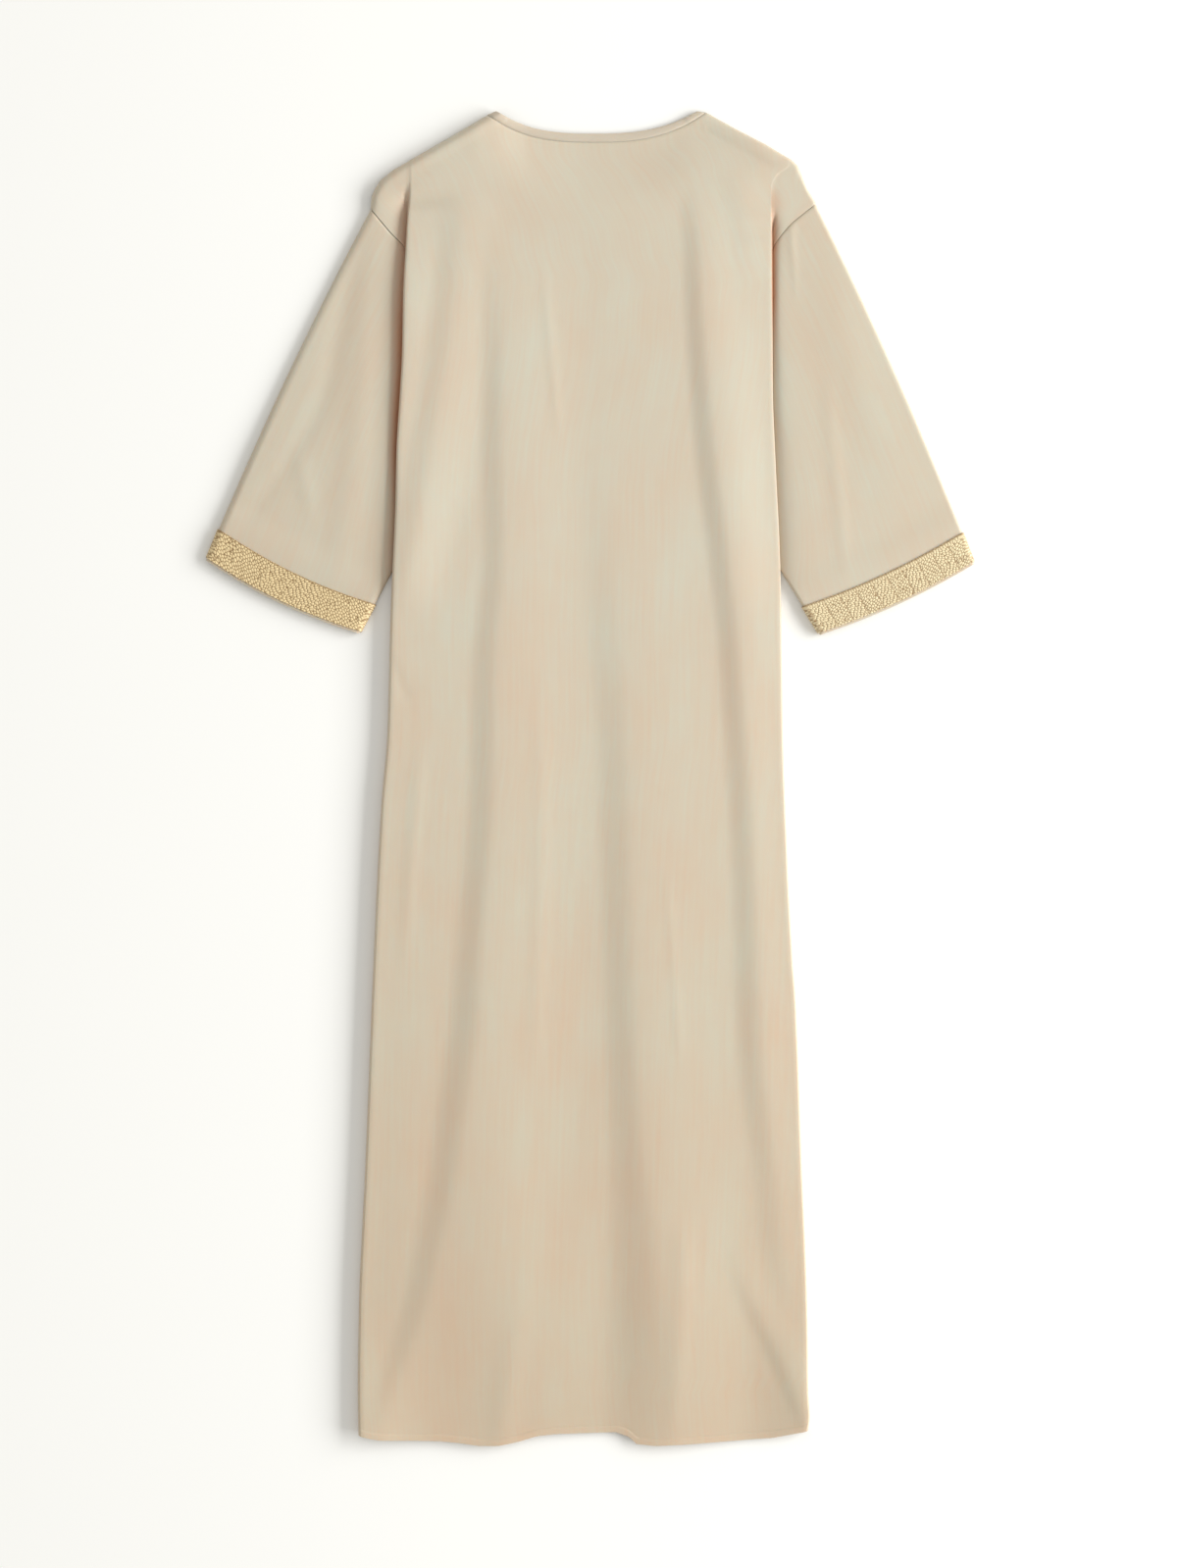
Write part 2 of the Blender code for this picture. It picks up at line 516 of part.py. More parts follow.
def back_grid():
    """x, down and height of the whole back panel, seam to seam."""
    left, right = side_columns("left"), side_columns("right")
    u = np.linspace(-1.0, 1.0, NECK_COLUMNS)
    neck_x, _ = neck_line(u, BAND_HALF_WIDTH, BAND_DEPTH, BAND_END)
    first_x, last_x = left[0][0, -1], right[0][0, -1]
    left_x = np.linspace(first_x, neck_x[0], SHOULDER_COLUMNS["left"] + 1)[1:-1]
    right_x = np.linspace(neck_x[-1], last_x, SHOULDER_COLUMNS["right"] + 1)[1:-1]
    top_x = np.concatenate([left_x, neck_x, right_x])
    share = np.arange(1, len(top_x) + 1) / (len(top_x) + 1)
    foot = {side: side_points(side, np.array([FOOT_DOWN]), np.array([TOP_PLACE]))[0][0] for side in SIDES}
    foot_x = -foot["left"] + (foot["right"] + foot["left"]) * share
    top = top_down(top_x)
    down = row_downs(top, read(HEM, "x", "down", foot_x))
    at_roll = np.full(len(top_x), float(TOP_PLACE))
    left_out, left_z = side_points("left", down, at_roll)
    right_out, right_z = side_points("right", down, at_roll)
    settled = -left_out + (right_out + left_out) * share
    x = settled + (top_x - settled[0]) * (1.0 - ramp(down, top, COLUMNS_SETTLE))
    z = back_height(x, down)
    from_edge = quarter_round(shoulder_inset(x, down) / EDGE_ROUND["left"])
    left_z = left_z + closed_loft("left", left_out, down)
    right_z = right_z + closed_loft("right", right_out, down)
    for end, end_z in ((-left_out, left_z), (right_out, right_z)):
        z = z + from_edge * (end_z - back_height(end, down)) * np.exp(-((x - end) / BLEND_WIDTH) ** 2)
    parts = [left, (x, down, z), tuple(values[:, ::-1] for values in right)]
    return [np.concatenate([part[number] for part in parts], axis=1) for number in range(3)]


def placed(x, down, z):
    """Millimetres of the tables as metres in the frame."""
    return np.stack(np.broadcast_arrays(x, LENGTH / 2 - down, z), axis=-1) * MM


def finish_material(name, colour, roughness, metallic):
    material = bpy.data.materials.new(name)
    material.use_nodes = True
    shader = material.node_tree.nodes["Principled BSDF"]
    shader.inputs["Base Color"].default_value = (*colour, 1.0)
    shader.inputs["Roughness"].default_value = roughness
    shader.inputs["Metallic"].default_value = metallic
    return material


def add_wall(name, points, thickness, material, collection, tube=False):
    """A cloth wall: an open grid of points, (rows, columns, 3), thickened evenly both ways."""
    rows, columns = points.shape[:2]
    numbers = np.arange(rows * columns).reshape(rows, columns)
    after = np.roll(numbers, -1, axis=1)
    last = columns if tube else columns - 1
    faces = np.stack([numbers[:-1], numbers[1:], after[1:], after[:-1]], axis=-1)[:, :last]
    mesh = bpy.data.meshes.new(name)
    mesh.from_pydata(points.reshape(-1, 3).tolist(), [], faces.reshape(-1, 4).tolist())
    mesh.shade_smooth()
    mesh.materials.append(material)
    piece = bpy.data.objects.new(name, mesh)
    collection.objects.link(piece)
    wall = piece.modifiers.new("Cloth", "SOLIDIFY")
    wall.thickness = thickness * MM
    wall.offset = 0.0
    wall.use_even_offset = False
    return piece


def add_flat(name, outline, material, collection):
    """A piece that lies flat on the surface: an outline of (x, down) given the cloth's thickness."""
    curve = bpy.data.curves.new(name, "CURVE")
    curve.dimensions = "2D"
    curve.fill_mode = "BOTH"
    curve.extrude = CLOTH / 2 * MM
    spline = curve.splines.new("POLY")
    spline.points.add(len(outline) - 1)
    corners = placed(*np.array(outline, float).T, 0.0)
    for point, corner in zip(spline.points, corners):
        point.co = (corner[0], corner[1], 0.0, 1.0)
    spline.use_cyclic_u = True
    curve.materials.append(material)
    piece = bpy.data.objects.new(name, curve)
    piece.location.z = FLAT_Z * MM
    collection.objects.link(piece)
    return piece


def add_back_panel(material, collection):
    return add_wall("back_panel", placed(*back_grid()), CLOTH, material, collection)


def front_neck(half_width, depth, end_depth):
    """The front neck curve from right to left, as (x, down)."""
    u = np.linspace(1.0, -1.0, FRONT_NECK_POINTS)
    ends = np.where(u < 0, end_depth["left"], end_depth["right"])
    down = ends + (depth - ends) * np.sqrt(1.0 - np.abs(u) ** FRONT_NECK_ROUNDNESS)
    return list(zip(NECK_MIDDLE_X + half_width * u, down))


def add_front_panel(material, collection):
    outline = front_neck(BAND_HALF_WIDTH, FRONT_NECK_DEPTH + FRONT_BAND_WIDTH, BAND_END)
    for side, sign in SIDES.items():
        shoulder = [(sign * out, down) for out, down in
                    list(zip(SHOULDER[side]["out"], SHOULDER[side]["down"]))[2:-1]]
        first, last = ARMHOLE[side]["down"][0], ARMHOLE[side]["down"][-1]
        downs = first + (last - first) * SLEEVE_ACROSS
        outs = along(ARMHOLE[side]["down"], ARMHOLE[side]["out"], downs) - ARMHOLE_GAP
        armhole = list(zip(sign * outs, downs))
        downs = np.array([row for row in BODY_ROWS if row > last] + [SIDE_SEAM[side]["down"][-1]])
        seam = list(zip(sign * seam_out(side, downs), downs))
        edge = shoulder + armhole + seam
        outline = outline + edge if side == "left" else edge[::-1] + outline
    inner = [(x, down - HEM_TUCK) for x, down in zip(HEM["x"], HEM["down"]) if abs(x) < FRONT_HEM_REACH]
    return add_flat("front_panel", outline + inner, material, collection)


def add_neck_bands(material, collection):
    edge_end = {"left": 0.0, "right": 0.0}
    u = np.linspace(-1.0, 1.0, NECK_COLUMNS)
    edge_x, edge_down = neck_line(u, NECK_HALF_WIDTH, NECK_DEPTH, edge_end)
    seam_x, seam_down = neck_line(u, BAND_HALF_WIDTH, BAND_DEPTH, BAND_END)
    share = np.array((0.0, 0.5, 1.0))[:, None]
    gap = SEAM_GAP * share * BAND_GAPS
    across = np.sign(u) * np.abs(u) ** BAND_GAP_POWER
    x = edge_x + (seam_x - across * gap - edge_x) * share
    down = edge_down + (seam_down - gap - edge_down) * share
    z = upper_level(x, down, 0.0)
    add_wall("neck_binding_back", placed(x, down, z), CLOTH, material, collection)

    outer_depth = FRONT_NECK_DEPTH + FRONT_BAND_WIDTH - 2 * SEAM_GAP
    outer = front_neck(BAND_HALF_WIDTH - 2 * SEAM_GAP, outer_depth, BAND_END)
    inner = front_neck(NECK_HALF_WIDTH, FRONT_NECK_DEPTH, edge_end)
    add_flat("neck_binding_front", outer + inner[::-1], material, collection)


def length_across(side, distance, length):
    """Width of the sleeve at a distance from its cuff."""
    part = distance / length
    cuff = CUFF[side]
    at_cuff = math.dist(cuff["outer"], cuff["inner"])
    at_arm = math.dist((ARMHOLE[side]["out"][0], ARMHOLE[side]["down"][0]),
                       (ARMHOLE[side]["out"][-1], ARMHOLE[side]["down"][-1]))
    return at_cuff + (at_arm - at_cuff) * part


def grown(across, z, amount):
    """How far rings of points, one to a row, move across and up to lie outside themselves."""
    run, climb = np.roll(across, -1, axis=1) - across, np.roll(z, -1, axis=1) - z
    size = np.hypot(run, climb)
    out_across, out_up = -climb / size, run / size
    before_across, before_up = np.roll(out_across, 1, axis=1), np.roll(out_up, 1, axis=1)
    mitre = amount / (1.0 + out_across * before_across + out_up * before_up)
    return (out_across + before_across) * mitre, (out_up + before_up) * mitre


def sleeve_ring(side, distance, proud):
    """x, down and height of rings of a sleeve, or of a band proud of it: over the top from the
    outer edge to the inner edge, and back underneath. The layers meet in a half round."""
    share = np.concatenate([SLEEVE_ACROSS, LOWER_ACROSS[::-1]])
    lower = np.arange(len(share)) >= len(SLEEVE_ACROSS)
    out, down, length = sleeve_plan(side, share, distance)
    width = length_across(side, distance, length)
    outer_inset, inner_inset = share * width, (1.0 - share) * width
    floor_z = FLAT_Z + (BRAID + SEAM_GAP) * (1.0 - ramp(distance, *CUFF_RAISED))
    half = (CLOTH + SEAM_GAP) / 2
    bend = quarter_round(np.minimum(outer_inset, inner_inset) / half)
    loft = second_loft(side, out, down, distance_to(OUTER_LINE[side], out, down))
    loft = loft * quarter_round(inner_inset / EDGE_ROUND[side])
    loft = loft * (1.0 - (1.0 - CUFF_LOFT) * (1.0 - ramp(distance, 0.0, CUFF_FLATTENED)))
    z = floor_z + half + np.where(lower, -half * bend, half * bend + loft)
    near = np.exp(-(outer_inset / EDGE_SHIFT_WIDTH) ** 2) - np.exp(-(inner_inset / EDGE_SHIFT_WIDTH) ** 2)
    inwards = CLOTH / 2 * near
    across = np.array(CUFF[side]["inner"]) - np.array(CUFF[side]["outer"])
    across = across / np.linalg.norm(across)
    move, up = grown(out * across[0] + down * across[1] + inwards, z, proud)
    return SIDES[side] * (out + across[0] * (inwards + move)), down + across[1] * (inwards + move), z + up


def add_sleeve(side, material, collection):
    _, _, length = sleeve_plan(side, np.concatenate([SLEEVE_ACROSS, LOWER_ACROSS[::-1]]), 0.0)
    near = np.array(CUFF_STEPS)[:, None] + 0 * length
    far = near[-1] + (length - near[-1]) * np.array(SLEEVE_SHARES)[:, None]
    points = placed(*sleeve_ring(side, np.concatenate([near, far]), 0.0))
    return add_wall(f"sleeve_{side}", points, CLOTH, material, collection, tube=True)


def add_cuff_trim(side, material, collection):
    proud = CLOTH / 2 + SEAM_GAP + BRAID / 2
    distance = LIP + BRAID_WIDTH * np.array(BRAID_SHARES)[:, None]
    points = placed(*sleeve_ring(side, distance, proud))
    return add_wall(f"cuff_trim_{side}", points, BRAID, material, collection, tube=True)


def main():
    for old in list(bpy.data.objects):
        bpy.data.objects.remove(old, do_unlink=True)
    collection = bpy.data.collections.new("thobe_robe")
    bpy.context.scene.collection.children.link(collection)

    cloth = finish_material("satin_cloth", CLOTH_COLOUR, 0.5, 0.0)
    band = finish_material("neck_band_cloth", BAND_COLOUR, 0.55, 0.0)
    braid = finish_material("gold_braid", BRAID_COLOUR, 0.42, 0.6)

    add_front_panel(cloth, collection)
    add_back_panel(cloth, collection)
    add_neck_bands(band, collection)
    for side in SIDES:
        add_sleeve(side, cloth, collection)
        add_cuff_trim(side, braid, collection)


main()
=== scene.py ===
"""A loose satin robe with braided cuffs, laid flat face down, with its back up.

Every piece is a surface worked out on a grid of two parameters. The tables are in millimetres:
"down" runs from the neck points towards the hem, "out" runs sideways from the middle line, and
x is out with its sign, negative on the left sleeve's side as seen from above.
"""

import math

import bpy
import numpy as np
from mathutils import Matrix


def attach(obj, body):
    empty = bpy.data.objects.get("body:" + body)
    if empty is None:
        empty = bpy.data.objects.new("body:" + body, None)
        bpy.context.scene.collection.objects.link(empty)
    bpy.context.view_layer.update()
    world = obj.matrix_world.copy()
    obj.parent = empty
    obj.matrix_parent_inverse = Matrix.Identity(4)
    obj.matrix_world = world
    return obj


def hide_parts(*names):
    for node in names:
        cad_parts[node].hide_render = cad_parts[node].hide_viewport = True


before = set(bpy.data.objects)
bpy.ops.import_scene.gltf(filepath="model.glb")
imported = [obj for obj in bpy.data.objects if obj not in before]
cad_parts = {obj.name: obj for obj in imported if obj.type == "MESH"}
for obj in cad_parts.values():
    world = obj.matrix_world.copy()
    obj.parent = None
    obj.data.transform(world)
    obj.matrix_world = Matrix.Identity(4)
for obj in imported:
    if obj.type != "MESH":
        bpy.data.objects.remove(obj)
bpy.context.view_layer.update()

MM = 0.001

# Cloth, seams and heights: the same sizes as the solids
CLOTH = 1.2
BRAID = 1.0
SEAM_GAP = 0.3
ARMHOLE_GAP = 0.8
LENGTH = 1360.3
FLAT_Z = CLOTH / 2
SECOND_LAYER_Z = FLAT_Z + CLOTH + SEAM_GAP
BODY_Z = 8.6
LEFT_SWELL = 3.5
TOP_SMOOTHING = np.linspace(-30.0, 30.0, 13)
HEM_Z = 3.6
SWELL_OUT = 190.0
LEVEL_RISE = 70.0
HEM_FALL_STARTS = 1190.0
FOLD_AT_EDGE = 0.25
FOLD_LOST_AT_HEM = 0.35
BLEND_WIDTH = 32.0

NECK_MIDDLE_X = 6.5
NECK_HALF_WIDTH = 102.4
NECK_DEPTH = 22.6
BAND_HALF_WIDTH = 111.7
BAND_DEPTH = 31.4
BAND_END = {"left": 4.4, "right": 1.3}
FRONT_NECK_DEPTH = 92.0
FRONT_BAND_WIDTH = 8.8
NECK_ROUNDNESS = {"left": 3.0, "right": 2.6}
FRONT_NECK_ROUNDNESS = 2.4
FRONT_FOOT = (-222.0, 208.0)
FRONT_HEM_LIFT = 4.0
FRONT_COLUMNS_SETTLE = 300.0

PLEAT_INNER_ARC = 3.0
PLEAT_OUTER_ARC = {
    "left": {"down": (60, 90, 100, 110, 120, 130, 190), "length": (7, 7, 8, 9, 11, 13, 16.5)},
    "right": {"down": (60, 105, 125, 145, 165), "length": (3.5, 3.5, 3.5, 4, 4.5)},
}
PLEAT_FLAT_ANGLE = 0.08
PLEAT_OPENS = {"left": (70.0, 130.0), "right": (96.0, 148.0)}
LEG_LANDS = {"left": (478.0, 530.0), "right": (474.0, 526.0)}
SIDE_ROLL_ARC = {"left": 18.5, "right": 12.5}
ROLL_FLATNESS = {"left": 0.4, "right": 0.33}
FREE_LEG = (1.0, 7.0)
FREE_LEG_GROWS = (120.0, 160.0)
LEG_OVERLAP = 1.5
LEAST_STEP = 0.06
UNDERLAP = {"armhole": 0.9, "side seam": 1.5 + SEAM_GAP}
SEAM_BURIED = (181.0, 250.0)
TIP_RUN = (0.0, 1.5, 8.0, 19.0)
LOWER_LAYER_SETTLES = 42.0
COLUMNS_SETTLE = 216.0
TOP_GUESS = 50.0
TOP_PASSES = 40
FOOT_DOWN = 1345.0
SIDE_HEM_LIFT = 3.0
ROLL_HEM_STEP = 0.75
BEND_PLACE, ROLL_PLACE, TOP_PLACE = 4, 8, 12
CHEST_DOWN = 186.0
LAST_LEVEL_ROW = 1290.0

SIDES = {"left": -1, "right": 1}

SHOULDER = {
    "left": {
        "out": (96.3, 105.0, 202.8, 205.7, 213.7, 218.7, 222.7, 224.0),
        "down": (0.0, 4.4, 61.3, 64.3, 70.3, 78.3, 86.3, 99.8),
    },
    "right": {
        "out": (109.0, 118.3, 147.9, 178.7, 205.3, 212.1, 217.3, 220.3, 230.2),
        "down": (0.0, 1.3, 17.8, 33.9, 50.0, 56.7, 70.3, 78.3, 94.8),
    },
}
ARMHOLE = {
    "left": {
        "down": (99.8, 122.2, 142.3, 186.0, 286.0, 398.0),
        "out": (224.0, 205.5, 188.0, 178.0, 169.0, 163.7),
    },
    "right": {
        "down": (94.8, 118.5, 139.8, 186.0, 286.0, 416.0),
        "out": (230.2, 202.0, 187.0, 176.0, 167.0, 162.3),
    },
}
SIDE_SEAM = {
    "left": {"down": (398.0, 476.0, 1347.0), "out": (163.7, 170.0, 222.0)},
    "right": {"down": (416.0, 476.0, 1345.0), "out": (162.3, 166.0, 208.0)},
}
SIDE_EDGE = {
    "left": {
        "down": (75, 143, 180, 246, 286, 326, 346, 400, 476, 526, 636, 706, 866, 1066, 1226, 1306, 1347),
        "out": (184.5, 188.3, 190.4, 191.7, 193.8, 196.4, 197.4, 198.4, 201.7, 203.7, 206.7, 212.7, 220.7,
                228.7, 235.7, 236.7, 236),
    },
    "right": {
        "down": (56, 66, 78, 140, 286, 346, 387, 426, 471, 546, 626, 746, 866, 906, 1066, 1226, 1306,
                 1331, 1345),
        "out": (203, 190, 185.3, 185.6, 186.2, 188.4, 190.3, 192.3, 193.9, 195.3, 196.3, 200.3, 206.3,
                209.3, 215.3, 221.3, 222.3, 223.8, 222),
    },
}
HEM = {
    "x": (-236, -214, -154, -134, -114, -94, -74, -54, -34, 26, 40, 47, 66, 106, 146, 186, 206, 222),
    "down": (1350, 1354.3, 1355.3, 1357.3, 1360.3, 1360.3, 1356.3, 1350.3, 1348.3, 1346.5, 1351.3,
             1358.3, 1360.3, 1358.3, 1355.3, 1352.3, 1348.3, 1345.3),
}

# Long folds of the back: each rises over "rise" round its foot line and falls away over "fall"
FOLDS = {
    "left blade": {
        "down": (60, 140, 260, 378, 470, 520), "x": (-142, -146, -160, -179, -194, -200),
        "rise": (30, 30, 30, 30, 26, 26), "fall": (50, 50, 50, 50, 40, 40),
        "height": (0, 1.6, 2.6, 2.6, 1.6, 0),
    },
    "left long": {
        "down": (110, 200, 286, 446, 560, 690, 846, 926, 1006, 1086, 1166, 1226, 1316, 1361),
        "x": (-99, -101, -101, -99, -108, -111, -123, -129, -140, -151, -168, -181, -213, -222),
        "rise": (26, 28, 28, 28, 30, 32, 34, 36, 38, 38, 34, 30, 28, 26),
        "fall": (80, 90, 90, 90, 100, 110, 110, 120, 120, 120, 120, 120, 100, 90),
        "height": (0, 1.8, 2.4, 2.5, 2.8, 3.2, 3.4, 3.8, 3.8, 3.6, 3.2, 2.8, 2.2, 1.0),
    },
    "left low": {
        "down": (960, 1060, 1166, 1286, 1361), "x": (-112, -116, -124, -128, -130),
        "rise": (70, 80, 92, 96, 96), "fall": (120, 120, 120, 120, 120), "height": (0, 1.2, 3.4, 4.4, 3.4),
    },
    "centre": {
        "down": (330, 496, 638, 858, 1050, 1146, 1314, 1361), "x": (0, 12, 22, 28, 36, 42, 46, 44),
        "rise": (40, 40, 38, 38, 42, 56, 72, 72), "fall": (90, 100, 110, 110, 110, 100, 90, 90),
        "height": (0, 1.2, 2.2, 3.2, 3.6, 4.6, 6.4, 6.6),
    },
    "right long": {
        "down": (72, 130, 216, 307, 366, 449, 528, 606, 686, 786, 954, 1086, 1166, 1260),
        "x": (98, 102, 106, 113, 119, 130, 139, 145, 151, 156, 162, 178, 186, 196),
        "rise": (22, 22, 24, 26, 27, 28, 28, 29, 30, 30, 32, 32, 30, 28),
        "fall": (60, 60, 64, 70, 70, 74, 78, 84, 90, 90, 90, 90, 80, 60),
        "height": (0, 1.8, 2.8, 3.2, 3.3, 3.3, 3.2, 3.2, 3.2, 3.0, 2.8, 2.2, 1.6, 0),
    },
    "right blade": {
        "down": (50, 80, 130, 200, 300), "x": (136, 143, 151, 157, 161),
        "rise": (26, 26, 26, 26, 26), "fall": (30, 30, 30, 30, 30), "height": (0, 0.7, 0.9, 0.5, 0),
    },
    "right hem": {
        "down": (1150, 1200, 1260, 1333, 1361), "x": (140, 153, 182, 212, 220),
        "rise": (20, 20, 18, 18, 18), "fall": (34, 34, 34, 34, 34), "height": (0, 0.9, 1.5, 1.6, 1.2),
    },
}
# Small creases: soft ridges (height over 0) and troughs along a line, "width" to each side
CREASES = {
    "upper middle": {"down": (150, 210, 307, 340), "x": (-49, -43, -34, -31),
                     "width": 4.5, "height": (0, 0.35, 0.3, 0)},
    "lower middle": {"down": (760, 840, 940, 990), "x": (78, 83, 90, 93),
                     "width": 4.0, "height": (0, 0.3, 0.3, 0)},
    "left edge": {"down": (545, 561, 590, 612), "x": (-206, -202, -190, -183),
                  "width": 5.0, "height": (0, -0.5, -0.4, 0)},
    "left ladder": {"down": (640, 700, 780, 900), "x": (-172, -176, -183, -190),
                    "width": 7.0, "height": (0, 0.5, 0.5, 0)},
    "centre left": {"down": (560, 700, 900, 1010), "x": (-52, -50, -54, -58),
                    "width": 9.0, "height": (0, 0.4, 0.35, 0)},
    "low left": {"down": (1150, 1220, 1300, 1361), "x": (-66, -72, -84, -90),
                 "width": 14.0, "height": (0, 0.4, 0.8, 0.8)},
    "low right": {"down": (1120, 1180, 1260, 1361), "x": (92, 94, 90, 84),
                  "width": 10.0, "height": (0, 0.6, 0.6, 0.2)},
}

# The layer under the body's fold: how it rises beside the fold, and its loft there
LOFT = {
    "left": {"down": (60, 80, 100, 120, 190, 290, 350, 410, 480),
             "height": (8.8, 8.3, 6.4, 5.2, 4.6, 5.2, 6.2, 5.2, 4.4),
             "run": (10, 10, 9, 8.5, 7.5, 6, 4.5, 5, 6)},
    "right": {"down": (60, 190, 290, 350, 410, 480), "height": (5.0, 6.2, 5.4, 4.8, 4.6, 4.6),
              "run": (5, 2.5, 4, 6, 7.5, 8)},
}
# Painted shade in the trough beside the fold, standing in for the shade of what lies over it: how strongly
# the cloth's colour is darkened, and how far
PAINTED_FOLD_SHADE = {
    "left": {"down": (70, 106, 146, 186, 226, 306, 346, 386, 460, 500),
             "strength": (0, 0.5, 0.6, 0.7, 0.9, 1.0, 0.8, 0.5, 0.3, 0.2),
             "width": (16, 17, 18, 17, 16, 13, 12, 12, 14, 14)},
    "right": {"down": (76, 92, 110, 130, 150, 186, 206, 246, 300, 420, 500),
              "strength": (0, 0.4, 0.6, 0.8, 1.0, 1.0, 0.7, 0.3, 0.1, 0.1, 0.1),
              "width": (14, 14, 13, 12, 9, 8, 8, 8, 10, 14, 14)},
}
EDGE_ROUND = {"left": 8.0, "right": 2.5}
# The seam allowance pressed flat under the shoulders: insets where it starts and ends
ALLOWANCE = {"height": 0.5, "starts": (2.0, 6.0), "ends": (13.5, 15.0)}
TOP_SEAM = {"depth": 0.5, "width": 1.2}
HEM_TURN = {"height": 0.35, "ends": (6.6, 7.6), "stitched": 7.0, "depth": 0.25, "width": 0.7}
# How far round the roll, in places past its start, the cloth comes out of the fold's shade
FOLD_LIT = (0.3, 2.2)
EDGE_LIFT = {
    "x": (-225, -190, -120, -100, -60, 6, 70, 112, 180, 230),
    "z": (8.7, 10.5, 11.0, 9.5, 4.4, 2.6, 2.6, 3.0, 6.5, 6.5),
}

CUFF = {
    "left": {"outer": (391.8, 457.5), "inner": (235.3, 532.5), "bulge": 7.0},
    "right": {"outer": (391.8, 461.3), "inner": (234.3, 533.8), "bulge": 5.0},
}
OUTER_EDGE_BOW = 5.0
# Distances from the cuff: where the sleeve comes down off its braid, and where its loft is whole
OFF_BRAID = (40.0, 75.0)
CUFF_LOFT_LOST = 0.25
LOFT_WHOLE = 60.0
# How far in from a sleeve's edge its half round still pushes the cloth outwards
EDGE_PUSH = 1.2
OUTER_EDGE_SHARES = np.linspace(0.95, -0.02, 14)
SLEEVE_FOLDS = {
    "left": (
        {"down": (100, 160, 202, 289, 358, 400, 440), "out": (222, 240, 252, 272, 307, 336, 360),
         "width": 12.0, "height": (0, -0.5, -0.9, -0.9, -0.7, -0.4, 0)},
        {"down": (110, 180, 300, 420, 500), "out": (216, 224, 234, 250, 262), "width": 16.0,
         "height": (0, 0.5, 0.9, 0.7, 0)},
        {"down": (330, 380, 430), "out": (300, 290, 284), "width": 9.0, "height": (0, 0.5, 0)},
    ),
    "right": (
        {"down": (112, 128, 150, 200), "out": (206, 205, 207, 210), "width": 3.5, "height": (0, 0.7, 0.5, 0)},
        {"down": (120, 240, 420), "out": (236, 262, 322), "width": 26.0, "height": (0, 0.9, 0)},
        {"down": (250, 330, 420, 500), "out": (240, 246, 256, 262), "width": 8.0, "height": (0, 0.4, 0.4, 0)},
    ),
}
LIP = 2.5
BRAID_WIDTH = 31.5
BEAD_SCATTER = 0.75
BEAD_SHOULDER = 0.42
BRAID_LOOK = {
    "left": {"bead": (3.7, 2.3), "slant": 0.75, "leaf": 60.0, "vein": 0.0, "row": 0.0},
    "right": {"bead": (3.3, 2.2), "slant": 0.6, "leaf": 17.0, "vein": 0.4, "row": 0.8},
}

LEAF_VEIN = 0.0022
BRAID_STITCH = 2.6
BRAID_ROW = {"middle": 2.9, "half": 1.4}
BRAID_CORD = {"middle": 0.6, "half": 0.6, "relief": 0.15}
BRAID_RELIEF = {"height": 0.7, "level": 0.6}

# How finely each surface is worked out
YOKE_INSETS = np.array((0.0, 0.12, 0.5, 1.1, 1.9, 3.0, 4.4, 6.0, 8.0, 10.5, 13.5, 17.0, 21.0))
YOKE_ROWS = 34
BODY_ROWS = 156
HEM_INSETS = np.array((0.0, 0.4, 1.0, 2.0, 3.5, 5.0, 6.2, 7.0, 7.8, 9.0, 11.0, 14.0, 18.0, 23.0, 29.0,
                       36.0, 43.0, 51.0))
SIDE_PLACES = np.concatenate([
    np.linspace(0.0, 0.4, 4), np.linspace(0.65, 4.0, 12), np.linspace(4.4, 6.0, 5),
    np.linspace(6.5, 8.0, 4), np.linspace(8.25, 12.0, 16)])
TOP_COLUMNS = 112


# The lamp, the fill, and the camera: its height, its place over the robe and the length it takes in
KEY = {"watts": 540.0, "size": (6.5, 2.6), "colour": (1.0, 1.0, 1.0), "azimuth": 3.0, "elevation": 23.5,
       "distance": 6.0}
FILL = {"colour": (1.0, 0.985, 0.95), "strength": 0.62}
CAMERA = {"height": 4.0, "x": -0.0017, "y": -0.00565, "view": 1.599, "cloth": 0.004}
SENSOR = 36.0

# Sewing along the hem: its row of the grid, the bare columns at each end, and each stitch
STITCH_ROW = 7
STITCH_ENDS = 24
STITCH = {"spacing": 2.8, "length": 2.1, "radius": 0.2, "sink": 0.05}


# ---------------------------------------------------------------- curves and heights

def smooth(value):
    """0 below 0, 1 above 1, and an even S between."""
    t = np.clip(value, 0.0, 1.0)
    return t * t * (3.0 - 2.0 * t)


def ramp(value, start, end):
    return smooth((np.asarray(value, float) - start) / (end - start))


def quarter_round(value):
    """A quarter of a circle: 0 at 0, rising straight up, and level from 1 on."""
    return np.sqrt(1.0 - (1.0 - np.clip(value, 0.0, 1.0)) ** 2)


def along(knots, heights, value):
    """A smooth curve through a table's rows: a cubic between each two, and at each row the
    harmonic mean of the slopes beside it, so that it never swings past a row."""
    xs, ys = np.asarray(knots, float), np.asarray(heights, float)
    steps = np.diff(xs)
    slopes = np.diff(ys) / steps
    product = slopes[:-1] * slopes[1:]
    total = np.where(product > 0, slopes[:-1] + slopes[1:], 1.0)
    inner = np.where(product > 0, 2.0 * product / total, 0.0)
    tangents = np.concatenate([slopes[:1], inner, slopes[-1:]])
    value = np.clip(value, xs[0], xs[-1])
    i = np.clip(np.searchsorted(xs, value, side="right") - 1, 0, len(xs) - 2)
    t = (value - xs[i]) / steps[i]
    cubic, square = t ** 3, t ** 2
    return ((2 * cubic - 3 * square + 1) * ys[i] + (cubic - 2 * square + t) * steps[i] * tangents[i]
            + (3 * square - 2 * cubic) * ys[i + 1] + (cubic - square) * steps[i] * tangents[i + 1])


def read(table, given, wanted, value):
    return np.interp(value, table[given], table[wanted])


